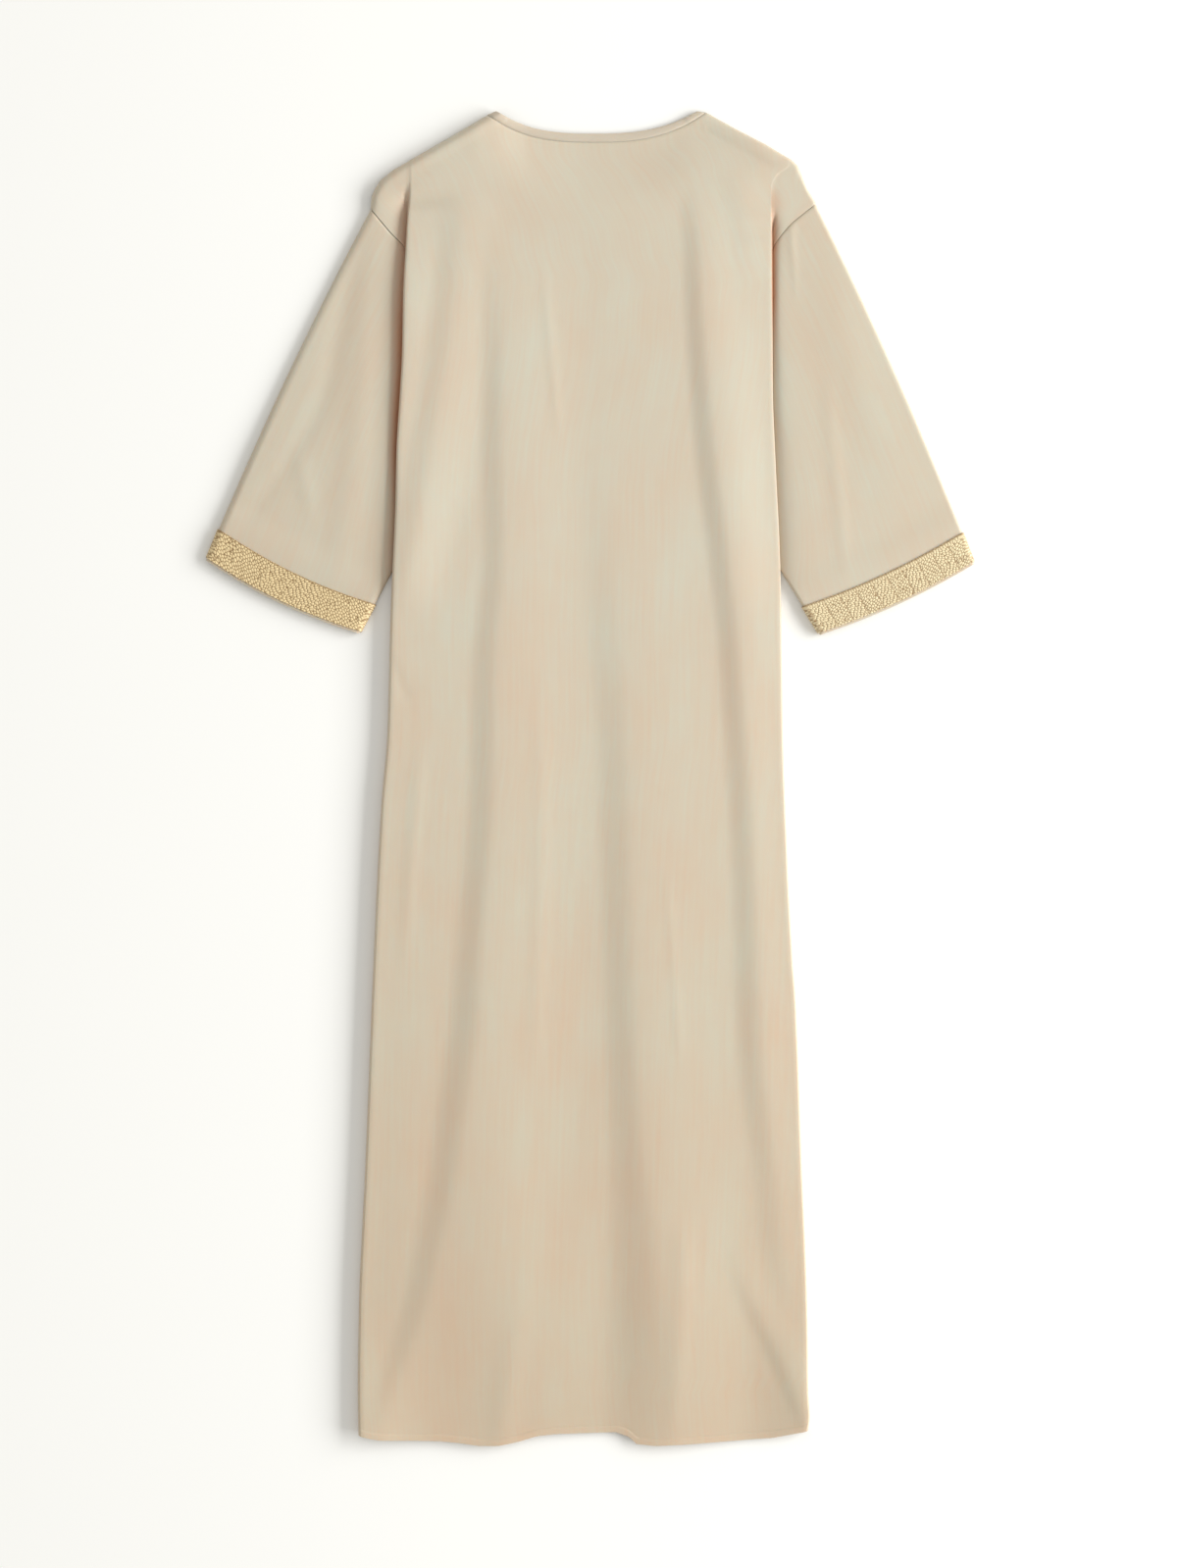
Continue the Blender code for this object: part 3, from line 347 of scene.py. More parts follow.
def neck_line(u, half_width, middle_depth, end_depth):
    """x and down of a neck curve at u, from -1 at its left end to 1 at its right end."""
    power = np.where(u < 0, NECK_ROUNDNESS["left"], NECK_ROUNDNESS["right"])
    ends = np.where(u < 0, end_depth["left"], end_depth["right"])
    bend = 1.0 - np.abs(u) ** power
    return NECK_MIDDLE_X + half_width * u, ends + (middle_depth - ends) * bend


def shoulder_down(side, out):
    return read(SHOULDER[side], "out", "down", out)


def top_down(x):
    """Down of the back panel's upper edge: shoulder, neck seam, shoulder."""
    u = np.clip((x - NECK_MIDDLE_X) / BAND_HALF_WIDTH, -1.0, 1.0)
    _, neck = neck_line(u, BAND_HALF_WIDTH, BAND_DEPTH, BAND_END)
    return np.where(np.abs(u) < 1.0, neck,
                    np.where(x < 0, shoulder_down("left", -x), shoulder_down("right", x)))


def smooth_top(x):
    """Down of the same edge with its corners at the neck points smoothed away."""
    return sum(top_down(x + shift) for shift in TOP_SMOOTHING) / len(TOP_SMOOTHING)


def side_edge(side, down):
    return along(SIDE_EDGE[side]["down"], SIDE_EDGE[side]["out"], down)


def seam_out(side, down):
    """Out of the seam under the side edge: the armhole, and the side seam below it."""
    armhole = along(ARMHOLE[side]["down"], ARMHOLE[side]["out"], down)
    seam = along(SIDE_SEAM[side]["down"], SIDE_SEAM[side]["out"], down)
    return np.where(down < ARMHOLE[side]["down"][-1], armhole, seam)


def fold_height(x, down):
    """Sum of the long folds: each is an S up across its foot line, then an S down."""
    total = np.zeros(np.broadcast(x, down).shape)
    for fold in FOLDS.values():
        foot, rise, fall, height = (along(fold["down"], fold[name], down)
                                    for name in ("x", "rise", "fall", "height"))
        up = smooth((x - foot) / rise + 0.5)
        away = 1.0 - smooth((x - foot - rise / 2) / fall)
        total = total + height * up * away
    return total


def crease_height(x, down, creases, across="x"):
    """Sum of small creases: each is a bell curve across its line."""
    total = np.zeros(np.broadcast(x, down).shape)
    for crease in creases:
        middle = along(crease["down"], crease[across], down)
        height = along(crease["down"], crease["height"], down)
        total = total + height * np.exp(-((x - middle) / crease["width"]) ** 2)
    return total


def distance_to(line, out, down):
    """Least distance from points to a line of (out, down) points."""
    best = np.full(np.broadcast(out, down).shape, 1e9)
    for (a_out, a_down), (b_out, b_down) in zip(line[:-1], line[1:]):
        run, drop = b_out - a_out, b_down - a_down
        share = np.clip(((out - a_out) * run + (down - a_down) * drop) / (run * run + drop * drop), 0, 1)
        best = np.minimum(best, np.hypot(out - a_out - share * run, down - a_down - share * drop))
    return best


def sleeve_plan(side, share, from_cuff):
    """Out, down and length of a sleeve's point: share across from its outer edge, distance from
    its cuff. Each thread runs straight from the cuff to the armhole, and the outer edge bows."""
    cuff = CUFF[side]
    outer, inner = np.array(cuff["outer"]), np.array(cuff["inner"])
    downs = ARMHOLE[side]["down"]
    share = np.asarray(share, float)
    arm_down = downs[0] + (downs[-1] - downs[0]) * share
    arm_out = along(downs, ARMHOLE[side]["out"], arm_down)
    across = (inner - outer) / np.linalg.norm(inner - outer)
    away = np.array([-across[1], across[0]])
    away = away if away[1] > 0 else -away
    bulge = cuff["bulge"] * 4 * share * (1 - share)
    end_out = outer[0] + (inner[0] - outer[0]) * share + away[0] * bulge
    end_down = outer[1] + (inner[1] - outer[1]) * share + away[1] * bulge
    length = np.hypot(arm_out - end_out, arm_down - end_down)
    part = from_cuff / length
    bow = OUTER_EDGE_BOW * 4 * part * (1 - part) * (1 - share) ** 2
    out = end_out + (arm_out - end_out) * part - across[0] * bow
    down = end_down + (arm_down - end_down) * part - across[1] * bow
    return out, down, length


def outer_line(side):
    """The robe's outline from the neck over the shoulder and down the sleeve's outer edge."""
    shoulder = list(zip(SHOULDER[side]["out"], SHOULDER[side]["down"]))
    _, _, length = sleeve_plan(side, 0.0, 0.0)
    out, down, _ = sleeve_plan(side, 0.0, length * OUTER_EDGE_SHARES)
    return shoulder + list(zip(out, down))


OUTER_LINE = {side: outer_line(side) for side in SIDES}


def second_loft(side, out, down, inset):
    """Loft of the layer that lies beside the body's fold: it climbs from the fold, fast and then
    ever slower, and is rounded off at the robe's outer edge. Above the fold's upper end there is
    no valley."""
    height, run = (along(LOFT[side]["down"], LOFT[side][name], down) for name in ("height", "run"))
    valley = 1.0 - fold_across(side, down)[-1] / height
    beyond = np.maximum(out - side_edge(side, down), 0.0)
    body = height + crease_height(out, down, SLEEVE_FOLDS[side], "out")
    return body * (1.0 - np.exp(-beyond / run) * valley) * quarter_round(inset / EDGE_ROUND[side])


def closed_loft(side, out, down):
    """Loft of the layers under the fold, above the place where the fold opens."""
    inset = distance_to(OUTER_LINE[side], out, down)
    return fold_across(side, down)[-1] * quarter_round(inset / EDGE_ROUND[side])


def shoulder_inset(x, down):
    left = distance_to(OUTER_LINE["left"], -x, down)
    right = distance_to(OUTER_LINE["right"], x, down)
    return np.where(x < 0, left, right)


def upper_level(x, down, from_top):
    """Height of the back before its folds: a rounded edge at the shoulders, then a slow rise."""
    edge_z = along(EDGE_LIFT["x"], EDGE_LIFT["z"], x)
    inset = shoulder_inset(x, down)
    bend = quarter_round(inset / np.where(x < 0, EDGE_ROUND["left"], EDGE_ROUND["right"]))
    body_z = BODY_Z + LEFT_SWELL * (np.minimum(x, 0.0) / SWELL_OUT) ** 2
    pressed = (1.0 - ramp(inset, *ALLOWANCE["ends"])) * ramp(inset, *ALLOWANCE["starts"])
    allowance = ALLOWANCE["height"] * pressed
    return SECOND_LAYER_Z + (edge_z - SECOND_LAYER_Z) * bend + (body_z - edge_z) * from_top + allowance


def back_height(x, down):
    """Height of the middle of the back's upper layer above the surface."""
    from_top = ramp(down - smooth_top(x), 0.0, LEVEL_RISE)
    to_hem = ramp(down, HEM_FALL_STARTS, LENGTH)
    level = upper_level(x, down, from_top) - (BODY_Z - HEM_Z) * to_hem
    share = (FOLD_AT_EDGE + (1.0 - FOLD_AT_EDGE) * from_top) * (1.0 - FOLD_LOST_AT_HEM * to_hem)
    return level + fold_height(x, down) * share + crease_height(x, down, CREASES.values())


# ---------------------------------------------------------------- the back panel

def fold_across(side, down):
    """Sizes of the rolled side seen across: the angle that both arcs turn, their radii, the leg
    between them, the height they start from, and the loft of the layers below them. The angle
    grows from almost nothing at the shoulder to a half turn, and the loft gives way as it does."""
    angle = PLEAT_FLAT_ANGLE + (math.pi - PLEAT_FLAT_ANGLE) * ramp(down, *PLEAT_OPENS[side])
    landed = ramp(down, *LEG_LANDS[side])
    inner_radius = PLEAT_INNER_ARC / angle
    pleat_arc = along(PLEAT_OUTER_ARC[side]["down"], PLEAT_OUTER_ARC[side]["length"], down)
    outer_arc = pleat_arc + (SIDE_ROLL_ARC[side] - pleat_arc) * landed
    outer_radius = outer_arc / angle
    edge_out = side_edge(side, down) - CLOTH / 2
    free_leg = FREE_LEG[0] + (FREE_LEG[1] - FREE_LEG[0]) * ramp(down, *FREE_LEG_GROWS)
    tied_leg = edge_out - outer_radius * ROLL_FLATNESS[side] - seam_out(side, down) + LEG_OVERLAP
    leg = free_leg + (tied_leg - free_leg) * ramp(down, FREE_LEG_GROWS[1], CHEST_DOWN)
    floor_z = SECOND_LAYER_Z - (SECOND_LAYER_Z + 2 * inner_radius - FLAT_Z) * landed
    rolled = (inner_radius + outer_radius) * (1 - np.cos(angle)) + leg * np.sin(angle)
    loft = along(LOFT[side]["down"], LOFT[side]["height"], down)
    loft = loft * smooth(1.0 - rolled / loft)
    return angle, inner_radius, outer_radius, outer_arc, leg, floor_z, loft


def side_points(side, down, place):
    """Out and height of the rolled side at each place, from 0 at the panel's seam to 12 at the
    top of the roll. The height leaves out the loft of the layers below. Across the roll the
    cloth runs in along the lower layer (0 to 4), turns up round a small arc (4 to 6), comes back
    out along the leg (6 to 8) and turns over round a larger arc (8 to 12)."""
    angle, inner_radius, outer_radius, outer_arc, leg, floor_z, _ = fold_across(side, down)
    reach = outer_radius * ROLL_FLATNESS[side]
    edge_out = side_edge(side, down) - CLOTH / 2
    turn = np.minimum(angle, math.pi / 2)
    leg_end = inner_radius * np.sin(angle) + leg * np.cos(angle)
    start_out = edge_out + leg_end + reach * (np.sin(angle) - np.sin(turn))
    under_armhole = down > ARMHOLE[side]["down"][-1]
    stacked = PLEAT_INNER_ARC + np.where(under_armhole, UNDERLAP["side seam"], UNDERLAP["armhole"])
    butted = start_out - (seam_out(side, down) - ARMHOLE_GAP)
    first = butted + (stacked - butted) * ramp(down, *SEAM_BURIED)

    wanted = [first * share for share in (1.0, 0.75, 0.5, 0.25, 0.0)]
    wanted += [PLEAT_INNER_ARC / 2 + 0 * first, PLEAT_INNER_ARC + 0 * first, PLEAT_INNER_ARC + leg / 2]
    stops = [np.maximum(stop, first + LEAST_STEP * leg * number) for number, stop in enumerate(wanted)]
    stops += [PLEAT_INNER_ARC + leg + outer_arc * share for share in (0.0, 0.25, 0.5, 0.75, 1.0)]
    travel = sum(stop * np.clip(1.0 - np.abs(place - number), 0.0, 1.0) for number, stop in enumerate(stops))

    bend = np.clip(travel / inner_radius, 0.0, angle)
    bend_out = start_out - inner_radius * np.sin(bend)
    bend_z = floor_z + inner_radius * (1 - np.cos(bend))
    run = travel - PLEAT_INNER_ARC
    leg_out = start_out - inner_radius * np.sin(angle) - run * np.cos(angle)
    leg_z = floor_z + inner_radius * (1 - np.cos(angle)) + run * np.sin(angle)
    left = angle * (1.0 - (run - leg) / outer_arc)
    roll_out = start_out - leg_end + reach * (np.sin(left) - np.sin(angle))
    roll_z = (floor_z + inner_radius * (1 - np.cos(angle)) + leg * np.sin(angle)
              + outer_radius * (np.cos(left) - np.cos(angle)))
    parts = (travel <= 0.0, travel <= PLEAT_INNER_ARC, travel <= PLEAT_INNER_ARC + leg)
    out = np.select(parts, (start_out - travel, bend_out, leg_out), roll_out)
    z = np.select(parts, (floor_z + 0 * travel, bend_z, leg_z), roll_z)
    return out, z


def row_downs(top, hem):
    """Down of every row of columns that start at top and end at hem: close rows at both edges."""
    first = top + YOKE_INSETS[:, None]
    shares = np.linspace(0.0, 1.0, YOKE_ROWS + 1)[1:, None]
    yoke = first[-1] + (CHEST_DOWN - first[-1]) * shares
    body = np.linspace(CHEST_DOWN, LAST_LEVEL_ROW, BODY_ROWS + 1)[1:, None] + 0 * top
    low = hem - HEM_INSETS[::-1][:, None]
    return np.concatenate([first, yoke, body, low])


def side_columns(side):
    """x, down and height of the rolled side's columns."""
    place = SIDE_PLACES
    tip_out, tip_down = ARMHOLE[side]["out"][0], ARMHOLE[side]["down"][0]
    top = np.full(len(place), TOP_GUESS)
    for _ in range(TOP_PASSES):
        solved, _ = side_points(side, top, place)
        top = (top + shoulder_down(side, solved)) / 2
    bend_out = np.interp(BEND_PLACE, place, solved)
    tip = (tip_out - ARMHOLE_GAP, *(tip_out - run for run in TIP_RUN[1:]), bend_out)
    top_out = np.where(place < BEND_PLACE, np.interp(place, range(BEND_PLACE + 1), tip), solved)
    top = shoulder_down(side, top_out)
    top = np.where(place < 1, tip_down + (shoulder_down(side, tip[1]) - tip_down) * place, top)
    hem = read(HEM, "x", "down", SIDES[side] * side_edge(side, FOOT_DOWN)) - SIDE_HEM_LIFT
    hem = hem + ROLL_HEM_STEP * np.clip(place - ROLL_PLACE, 0.0, TOP_PLACE - ROLL_PLACE)
    down = row_downs(top, hem)
    out, z = side_points(side, down, place)

    edge, _ = side_points(side, down, np.zeros(len(place)))
    bend, _ = side_points(side, down, np.full(len(place), float(BEND_PLACE)))
    edge_top, _ = side_points(side, top, np.zeros(len(place)))
    bend_at_top, _ = side_points(side, top, np.full(len(place), float(BEND_PLACE)))
    start = (edge_top - top_out) / (edge_top - bend_at_top)
    share = start + (place / BEND_PLACE - start) * ramp(down, top, top + LOWER_LAYER_SETTLES)
    under = (place > 0) & (place < BEND_PLACE) & (down < CHEST_DOWN)
    out = np.where(under, edge + (bend - edge) * share, out)
    inset = distance_to(OUTER_LINE[side], out, down)
    second = (down < CHEST_DOWN) & (place < BEND_PLACE)
    loft = np.where(second, second_loft(side, out, down, inset), closed_loft(side, out, down))
    return SIDES[side] * out, down, z + loft


def back_grid():
    """x, down and height of the whole back panel, seam to seam."""
    left, right = side_columns("left"), side_columns("right")
    angle = np.linspace(-math.pi / 2, math.pi / 2, 61)
    neck_x, _ = neck_line(np.sin(angle), BAND_HALF_WIDTH, BAND_DEPTH, BAND_END)
    counts = (TOP_COLUMNS - len(neck_x)) // 2
    first_x, last_x = left[0][0, -1], right[0][0, -1]
    top_x = np.concatenate([np.linspace(first_x, neck_x[0], counts + 1)[1:-1], neck_x,
                            np.linspace(neck_x[-1], last_x, counts + 1)[1:-1]])
    share = np.arange(1, len(top_x) + 1) / (len(top_x) + 1)
    foot = {side: side_points(side, np.array([FOOT_DOWN]), np.array([TOP_PLACE]))[0][0] for side in SIDES}
    foot_x = -foot["left"] + (foot["right"] + foot["left"]) * share
    top = top_down(top_x)
    down = row_downs(top, np.interp(foot_x, HEM["x"], HEM["down"]))
    at_roll = np.full(len(top_x), float(TOP_PLACE))
    left_out, left_z = side_points("left", down, at_roll)
    right_out, right_z = side_points("right", down, at_roll)
    settled = -left_out + (right_out + left_out) * share
    x = settled + (top_x - settled[0]) * (1.0 - ramp(down, top, COLUMNS_SETTLE))
    z = back_height(x, down)
    from_edge = quarter_round(shoulder_inset(x, down) / EDGE_ROUND["left"])
    left_z = left_z + closed_loft("left", left_out, down)
    right_z = right_z + closed_loft("right", right_out, down)
    for end, end_z in ((-left_out, left_z), (right_out, right_z)):
        z = z + from_edge * (end_z - back_height(end, down)) * np.exp(-((x - end) / BLEND_WIDTH) ** 2)
    parts = [left, (x, down, z), tuple(values[:, ::-1] for values in right)]
    return [np.concatenate([part[number] for part in parts], axis=1) for number in range(3)]


# ---------------------------------------------------------------- meshes

def positions(x, down, z):
    """Millimetres of the tables as metres in the frame."""
    return np.stack([x, LENGTH / 2 - down, z], axis=-1) * MM


def grid_faces(rows, columns, tube=False):
    """Corner numbers of the quads of a grid, wound so that they face up."""
    numbers = np.arange(rows * columns).reshape(rows, columns)
    after = np.roll(numbers, -1, axis=1)
    last = columns if tube else columns - 1
    return np.stack([numbers[:-1], numbers[1:], after[1:], after[:-1]], axis=-1)[:, :last].reshape(-1, 4)


def add_mesh(name, points, faces, material, uv=None, mark=None, mark_name="Relief"):
    """A mesh piece from whole arrays, with its own UV map in metres of cloth and, where given, a
    mark at each point that its material reads."""
    mesh = bpy.data.meshes.new(name)
    mesh.from_pydata(points.reshape(-1, 3).tolist(), [], faces.tolist())
    if uv is not None:
        layer = mesh.uv_layers.new(name="Cloth")
        layer.data.foreach_set("uv", uv.reshape(-1, 2)[faces.reshape(-1)].reshape(-1).astype(np.float32))
    if mark is not None:
        attribute = mesh.attributes.new(mark_name, "FLOAT", "POINT")
        attribute.data.foreach_set("value", mark.reshape(-1).astype(np.float32))
    mesh.shade_smooth()
    mesh.materials.append(material)
    piece = bpy.data.objects.new(name, mesh)
    bpy.context.scene.collection.objects.link(piece)
    return piece


def add_wall(piece, thickness):
    wall = piece.modifiers.new("Wall", "SOLIDIFY")
    wall.thickness = thickness * MM
    wall.offset = 0.0
    wall.use_even_offset = False
    return piece


def lengths_across(points):
    """Distance along each row of a grid, starting at 0."""
    steps = np.linalg.norm(np.diff(points, axis=1), axis=-1)
    return np.concatenate([np.zeros((len(points), 1)), np.cumsum(steps, axis=1)], axis=1)


# ---------------------------------------------------------------- materials

def linear(code):
    """An sRGB hex colour as linear red, green, blue and alpha."""
    values = np.array([int(code[i:i + 2], 16) for i in (1, 3, 5)]) / 255
    return (*np.where(values < 0.04045, values / 12.92, ((values + 0.055) / 1.055) ** 2.4), 1.0)


def add_node(tree, kind, settings=(), links=()):
    """One node with its settings, {input or property: value}, and links, {input: output}."""
    node = tree.nodes.new(kind)
    for name, value in dict(settings).items():
        if isinstance(name, str) and hasattr(node, name):
            setattr(node, name, value)
        else:
            node.inputs[name].default_value = value
    for name, output in dict(links).items():
        tree.links.new(output, node.inputs[name])
    return node


def new_material(name, settings):
    material = bpy.data.materials.new(name)
    material.use_nodes = True
    tree = material.node_tree
    shader = tree.nodes["Principled BSDF"]
    for socket, value in settings.items():
        shader.inputs[socket].default_value = value
    return material, tree, shader


def noise_on_cloth(tree, where, scale, settings):
    """Noise on the cloth's own UV map, so many grains to a metre along and across."""
    mapped = add_node(tree, "ShaderNodeMapping", {"Scale": (*scale, 1.0)}, {"Vector": where.outputs["UV"]})
    return add_node(tree, "ShaderNodeTexNoise", {"Scale": 1.0, **settings}, {"Vector": mapped.outputs[0]})


def multiplied(tree, colour, shade, share):
    """A colour multiplied by a shade, as far as the share goes."""
    return add_node(tree, "ShaderNodeMix", {"data_type": "RGBA", "blend_type": "MULTIPLY", 7: linear(shade)},
                    {0: share, 6: colour}).outputs[2]


def satin(name, light, dark, roughness):
    """Polyester satin, woven with long floats along the warp: a soft sheen that spreads across
    the warp, faint streaks along it, and a little unevenness of tone from pressing. Its colour also carries
    painted shade towards the hem and in the fold beside the body."""
    material, tree, shader = new_material(name, {
        "Roughness": roughness, "IOR": 1.5, "Specular IOR Level": 0.5, "Anisotropic": 0.8,
        "Sheen Weight": 0.08, "Sheen Roughness": 0.5, "Subsurface Weight": 0.3, "Subsurface Scale": 0.004,
        "Subsurface Radius": (1.0, 0.62, 0.4)})
    where = add_node(tree, "ShaderNodeTexCoord")
    across_warp = add_node(tree, "ShaderNodeTangent", {"direction_type": "UV_MAP", "uv_map": "Cloth"})
    tree.links.new(across_warp.outputs[0], shader.inputs["Tangent"])
    streaks = noise_on_cloth(tree, where, (260.0, 9.0), {"Detail": 3.0, "Roughness": 0.6})
    clouds = noise_on_cloth(tree, where, (14.0, 6.0), {"Detail": 4.0, "Roughness": 0.55})
    both = add_node(tree, "ShaderNodeMix", {"data_type": "FLOAT", 0: 0.4},
                    {2: clouds.outputs[0], 3: streaks.outputs[0]})
    tone = add_node(tree, "ShaderNodeMapRange", {1: 0.35, 2: 0.65, 3: 0.0, 4: 1.0}, {0: both.outputs[0]})
    colour = add_node(tree, "ShaderNodeMix", {"data_type": "RGBA", 6: linear(dark), 7: linear(light)},
                      {0: tone.outputs[0]})
    place = add_node(tree, "ShaderNodeSeparateXYZ", {}, {0: where.outputs["Object"]})
    # Painted shade: the colour is darkened and warmed towards the hem, standing in for the lamp's light
    # falling off there
    hem_shade_share = add_node(tree, "ShaderNodeMapRange", {1: 0.25, 2: -0.68, 3: 0.0, 4: 1.0},
                           {0: place.outputs["Y"]})
    painted_hem_shade = multiplied(tree, colour.outputs[2], "#f9f0e8", hem_shade_share.outputs[0])
    # Painted shade: in the narrow fold beside the body the cloth's colour is darkened and browned, standing
    # in for the shade there, where light reaches the cloth only by way of other cloth.
    fold = add_node(tree, "ShaderNodeAttribute", {"attribute_name": "PaintedFoldShade"})
    fold_painted_shade = multiplied(tree, painted_hem_shade, "#efbba0", fold.outputs["Fac"])
    tree.links.new(fold_painted_shade, shader.inputs["Base Color"])
    # The warp floats are 0.25 mm apart; they are drawn at 1.2 mm so that a near view shows them.
    floats = noise_on_cloth(tree, where, (830.0, 420.0), {"Detail": 2.0, "Roughness": 0.5})
    bump = add_node(tree, "ShaderNodeBump", {"Strength": 0.08, "Distance": 0.0002},
                    {"Height": floats.outputs[0]})
    tree.links.new(bump.outputs[0], shader.inputs["Normal"])
    return material


def braid_material(name, crest_painted_highlight, gap_painted_shade):
    """Metallised thread braid in satin gold: its colour follows the beads' relief, with painted highlight on
    the crests and painted shade in the gaps between them.
    """
    settings = {"Roughness": 0.45, "Metallic": 0.1, "Specular IOR Level": 0.5}
    material, tree, shader = new_material(name, settings)
    relief = add_node(tree, "ShaderNodeAttribute", {"attribute_name": "Relief"})
    where = add_node(tree, "ShaderNodeTexCoord")
    specks = noise_on_cloth(tree, where, (240.0, 240.0), {"Detail": 2.0})
    uneven = add_node(tree, "ShaderNodeMath", {"operation": "MULTIPLY_ADD", 1: 0.5, 2: -0.25},
                      {0: specks.outputs[0]})
    mixed = add_node(tree, "ShaderNodeMath", {"operation": "ADD", "use_clamp": True},
                     {0: relief.outputs["Fac"], 1: uneven.outputs[0]})
    colour = add_node(tree, "ShaderNodeMix", {"data_type": "RGBA", 6: linear(gap_painted_shade), 7: linear(crest_painted_highlight)},
                      {0: mixed.outputs[0]})
    tree.links.new(colour.outputs[2], shader.inputs["Base Color"])
    return material


def thread_material(name, colour):
    """Spun polyester sewing thread: a plain dull sheen."""
    return new_material(name, {"Roughness": 0.5, "Base Color": linear(colour)})[0]


# ---------------------------------------------------------------- pieces

def dress(piece, node):
    """Puts a cloth piece in place of its node."""
    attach(piece, "root")
    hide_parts(node)
    return piece


def painted_fold_shade(side, out, down, hidden):
    """Strength of the painted shade at a point in the fold beside the body, 0 to 1: hidden cloth gets it
    fully, and beyond the fold's edge the mark falls away over the width of the trough."""
    shade = PAINTED_FOLD_SHADE[side]
    strength, width = (along(shade["down"], shade[name], down) for name in ("strength", "width"))
    beyond = np.clip((out - side_edge(side, down)) / width, 0.0, 1.0)
    return strength * np.maximum(hidden, (1.0 - smooth(beyond)) * (out > side_edge(side, down) - CLOTH))


def seam_groove(distance, depth, width):
    """A sewn seam: cloth dips as a bell curve of the given width towards its edge."""
    return -depth * np.exp(-(distance / width) ** 2)


def add_back_panel(material):
    x, down, z = back_grid()
    top_inset = down - down[0]
    hem_inset = down[-1] - down
    z = z + seam_groove(top_inset, TOP_SEAM["depth"], TOP_SEAM["width"])
    turned = HEM_TURN["height"] * (1.0 - ramp(hem_inset, *HEM_TURN["ends"]))
    z = z + turned + seam_groove(hem_inset - HEM_TURN["stitched"], HEM_TURN["depth"], HEM_TURN["width"])
    points = positions(x, down, z)
    uv = np.stack([lengths_across(points), down * MM], axis=-1)
    place = np.full(x.shape, float(TOP_PLACE))
    place[:, :len(SIDE_PLACES)] = SIDE_PLACES
    place[:, -len(SIDE_PLACES):] = SIDE_PLACES[::-1]
    side_of = np.arange(x.shape[1]) < x.shape[1] // 2
    # Painted shade: how far each point's colour is darkened and browned in the fold beside the body
    hidden = 1.0 - ramp(place, ROLL_PLACE + FOLD_LIT[0], ROLL_PLACE + FOLD_LIT[1])
    out, under = np.abs(x), place < ROLL_PLACE
    painted_shade_marks = [painted_fold_shade(side, out, down, np.where(under, out < side_edge(side, down), hidden))
             for side in SIDES]
    depth = np.where(place < TOP_PLACE, np.where(side_of, *painted_shade_marks), 0.0)
    piece = add_mesh("back_panel_cloth", points, grid_faces(*x.shape), material, uv, depth, "PaintedFoldShade")
    return add_wall(piece, CLOTH), points


def grown(across, z, amount):
    """How far rings of points, one to a row, move across and up to lie outside themselves."""
    run, climb = np.roll(across, -1, axis=1) - across, np.roll(z, -1, axis=1) - z
    size = np.hypot(run, climb)
    out_across, out_up = -climb / size, run / size
    before_across, before_up = np.roll(out_across, 1, axis=1), np.roll(out_up, 1, axis=1)
    mitre = amount / (1.0 + out_across * before_across + out_up * before_up)
    return (out_across + before_across) * mitre, (out_up + before_up) * mitre


def sleeve_ring(side, share, lower, distance, proud):
    """x, down and height on a sleeve, or on a band proud of it. share runs across from the outer
    edge, and lower marks the layer underneath. The two layers meet in a half round at each edge."""
    out, down, length = sleeve_plan(side, share, distance)
    width = length_across(side, distance, length)
    outer_inset, inner_inset = share * width, (1.0 - share) * width
    floor_z = FLAT_Z + (BRAID + SEAM_GAP) * (1.0 - ramp(distance, *OFF_BRAID))
    half = (CLOTH + SEAM_GAP) / 2
    bend = quarter_round(np.minimum(outer_inset, inner_inset) / half)
    loft = second_loft(side, out, down, distance_to(OUTER_LINE[side], out, down))
    kept = 1.0 - CUFF_LOFT_LOST * (1.0 - ramp(distance, 0.0, LOFT_WHOLE))
    loft = loft * quarter_round(inner_inset / EDGE_ROUND[side]) * kept
    z = floor_z + half + np.where(lower, -half * bend, half * bend + loft)
    pushes = [np.exp(-(inset / EDGE_PUSH) ** 2) for inset in (outer_inset, inner_inset)]
    inwards = CLOTH / 2 * (pushes[0] - pushes[1])
    across = np.array(CUFF[side]["inner"]) - np.array(CUFF[side]["outer"])
    across = across / np.linalg.norm(across)
    move, up = grown(out * across[0] + down * across[1] + inwards, z, proud)
    return SIDES[side] * (out + across[0] * (inwards + move)), down + across[1] * (inwards + move), z + up


def length_across(side, distance, length):
    """Width of the sleeve at a distance from its cuff."""
    part = distance / length
    cuff = CUFF[side]
    at_cuff = math.dist(cuff["outer"], cuff["inner"])
    at_arm = math.dist((ARMHOLE[side]["out"][0], ARMHOLE[side]["down"][0]),
                       (ARMHOLE[side]["out"][-1], ARMHOLE[side]["down"][-1]))
    return at_cuff + (at_arm - at_cuff) * part


def around(upper, lower):
    """Shares across and layer marks once round a tube: over the top and back underneath."""
    def spread(count):
        t = np.linspace(0.0, 1.0, count)
        return 0.55 * t + 0.45 * (1 - np.cos(math.pi * t)) / 2
    edge = np.array((0.0, 0.0006, 0.002, 0.0045, 0.009, 0.016, 0.026))
    def layer(count):
        return np.concatenate([edge[1:], 0.026 + 0.948 * spread(count)[1:-1], 1.0 - edge[1:][::-1]])
    top, bottom = layer(upper), layer(lower)
    share = np.concatenate([[0.0], top, [1.0], bottom[::-1]])
    under = np.arange(len(share)) > len(top) + 1
    return share, under


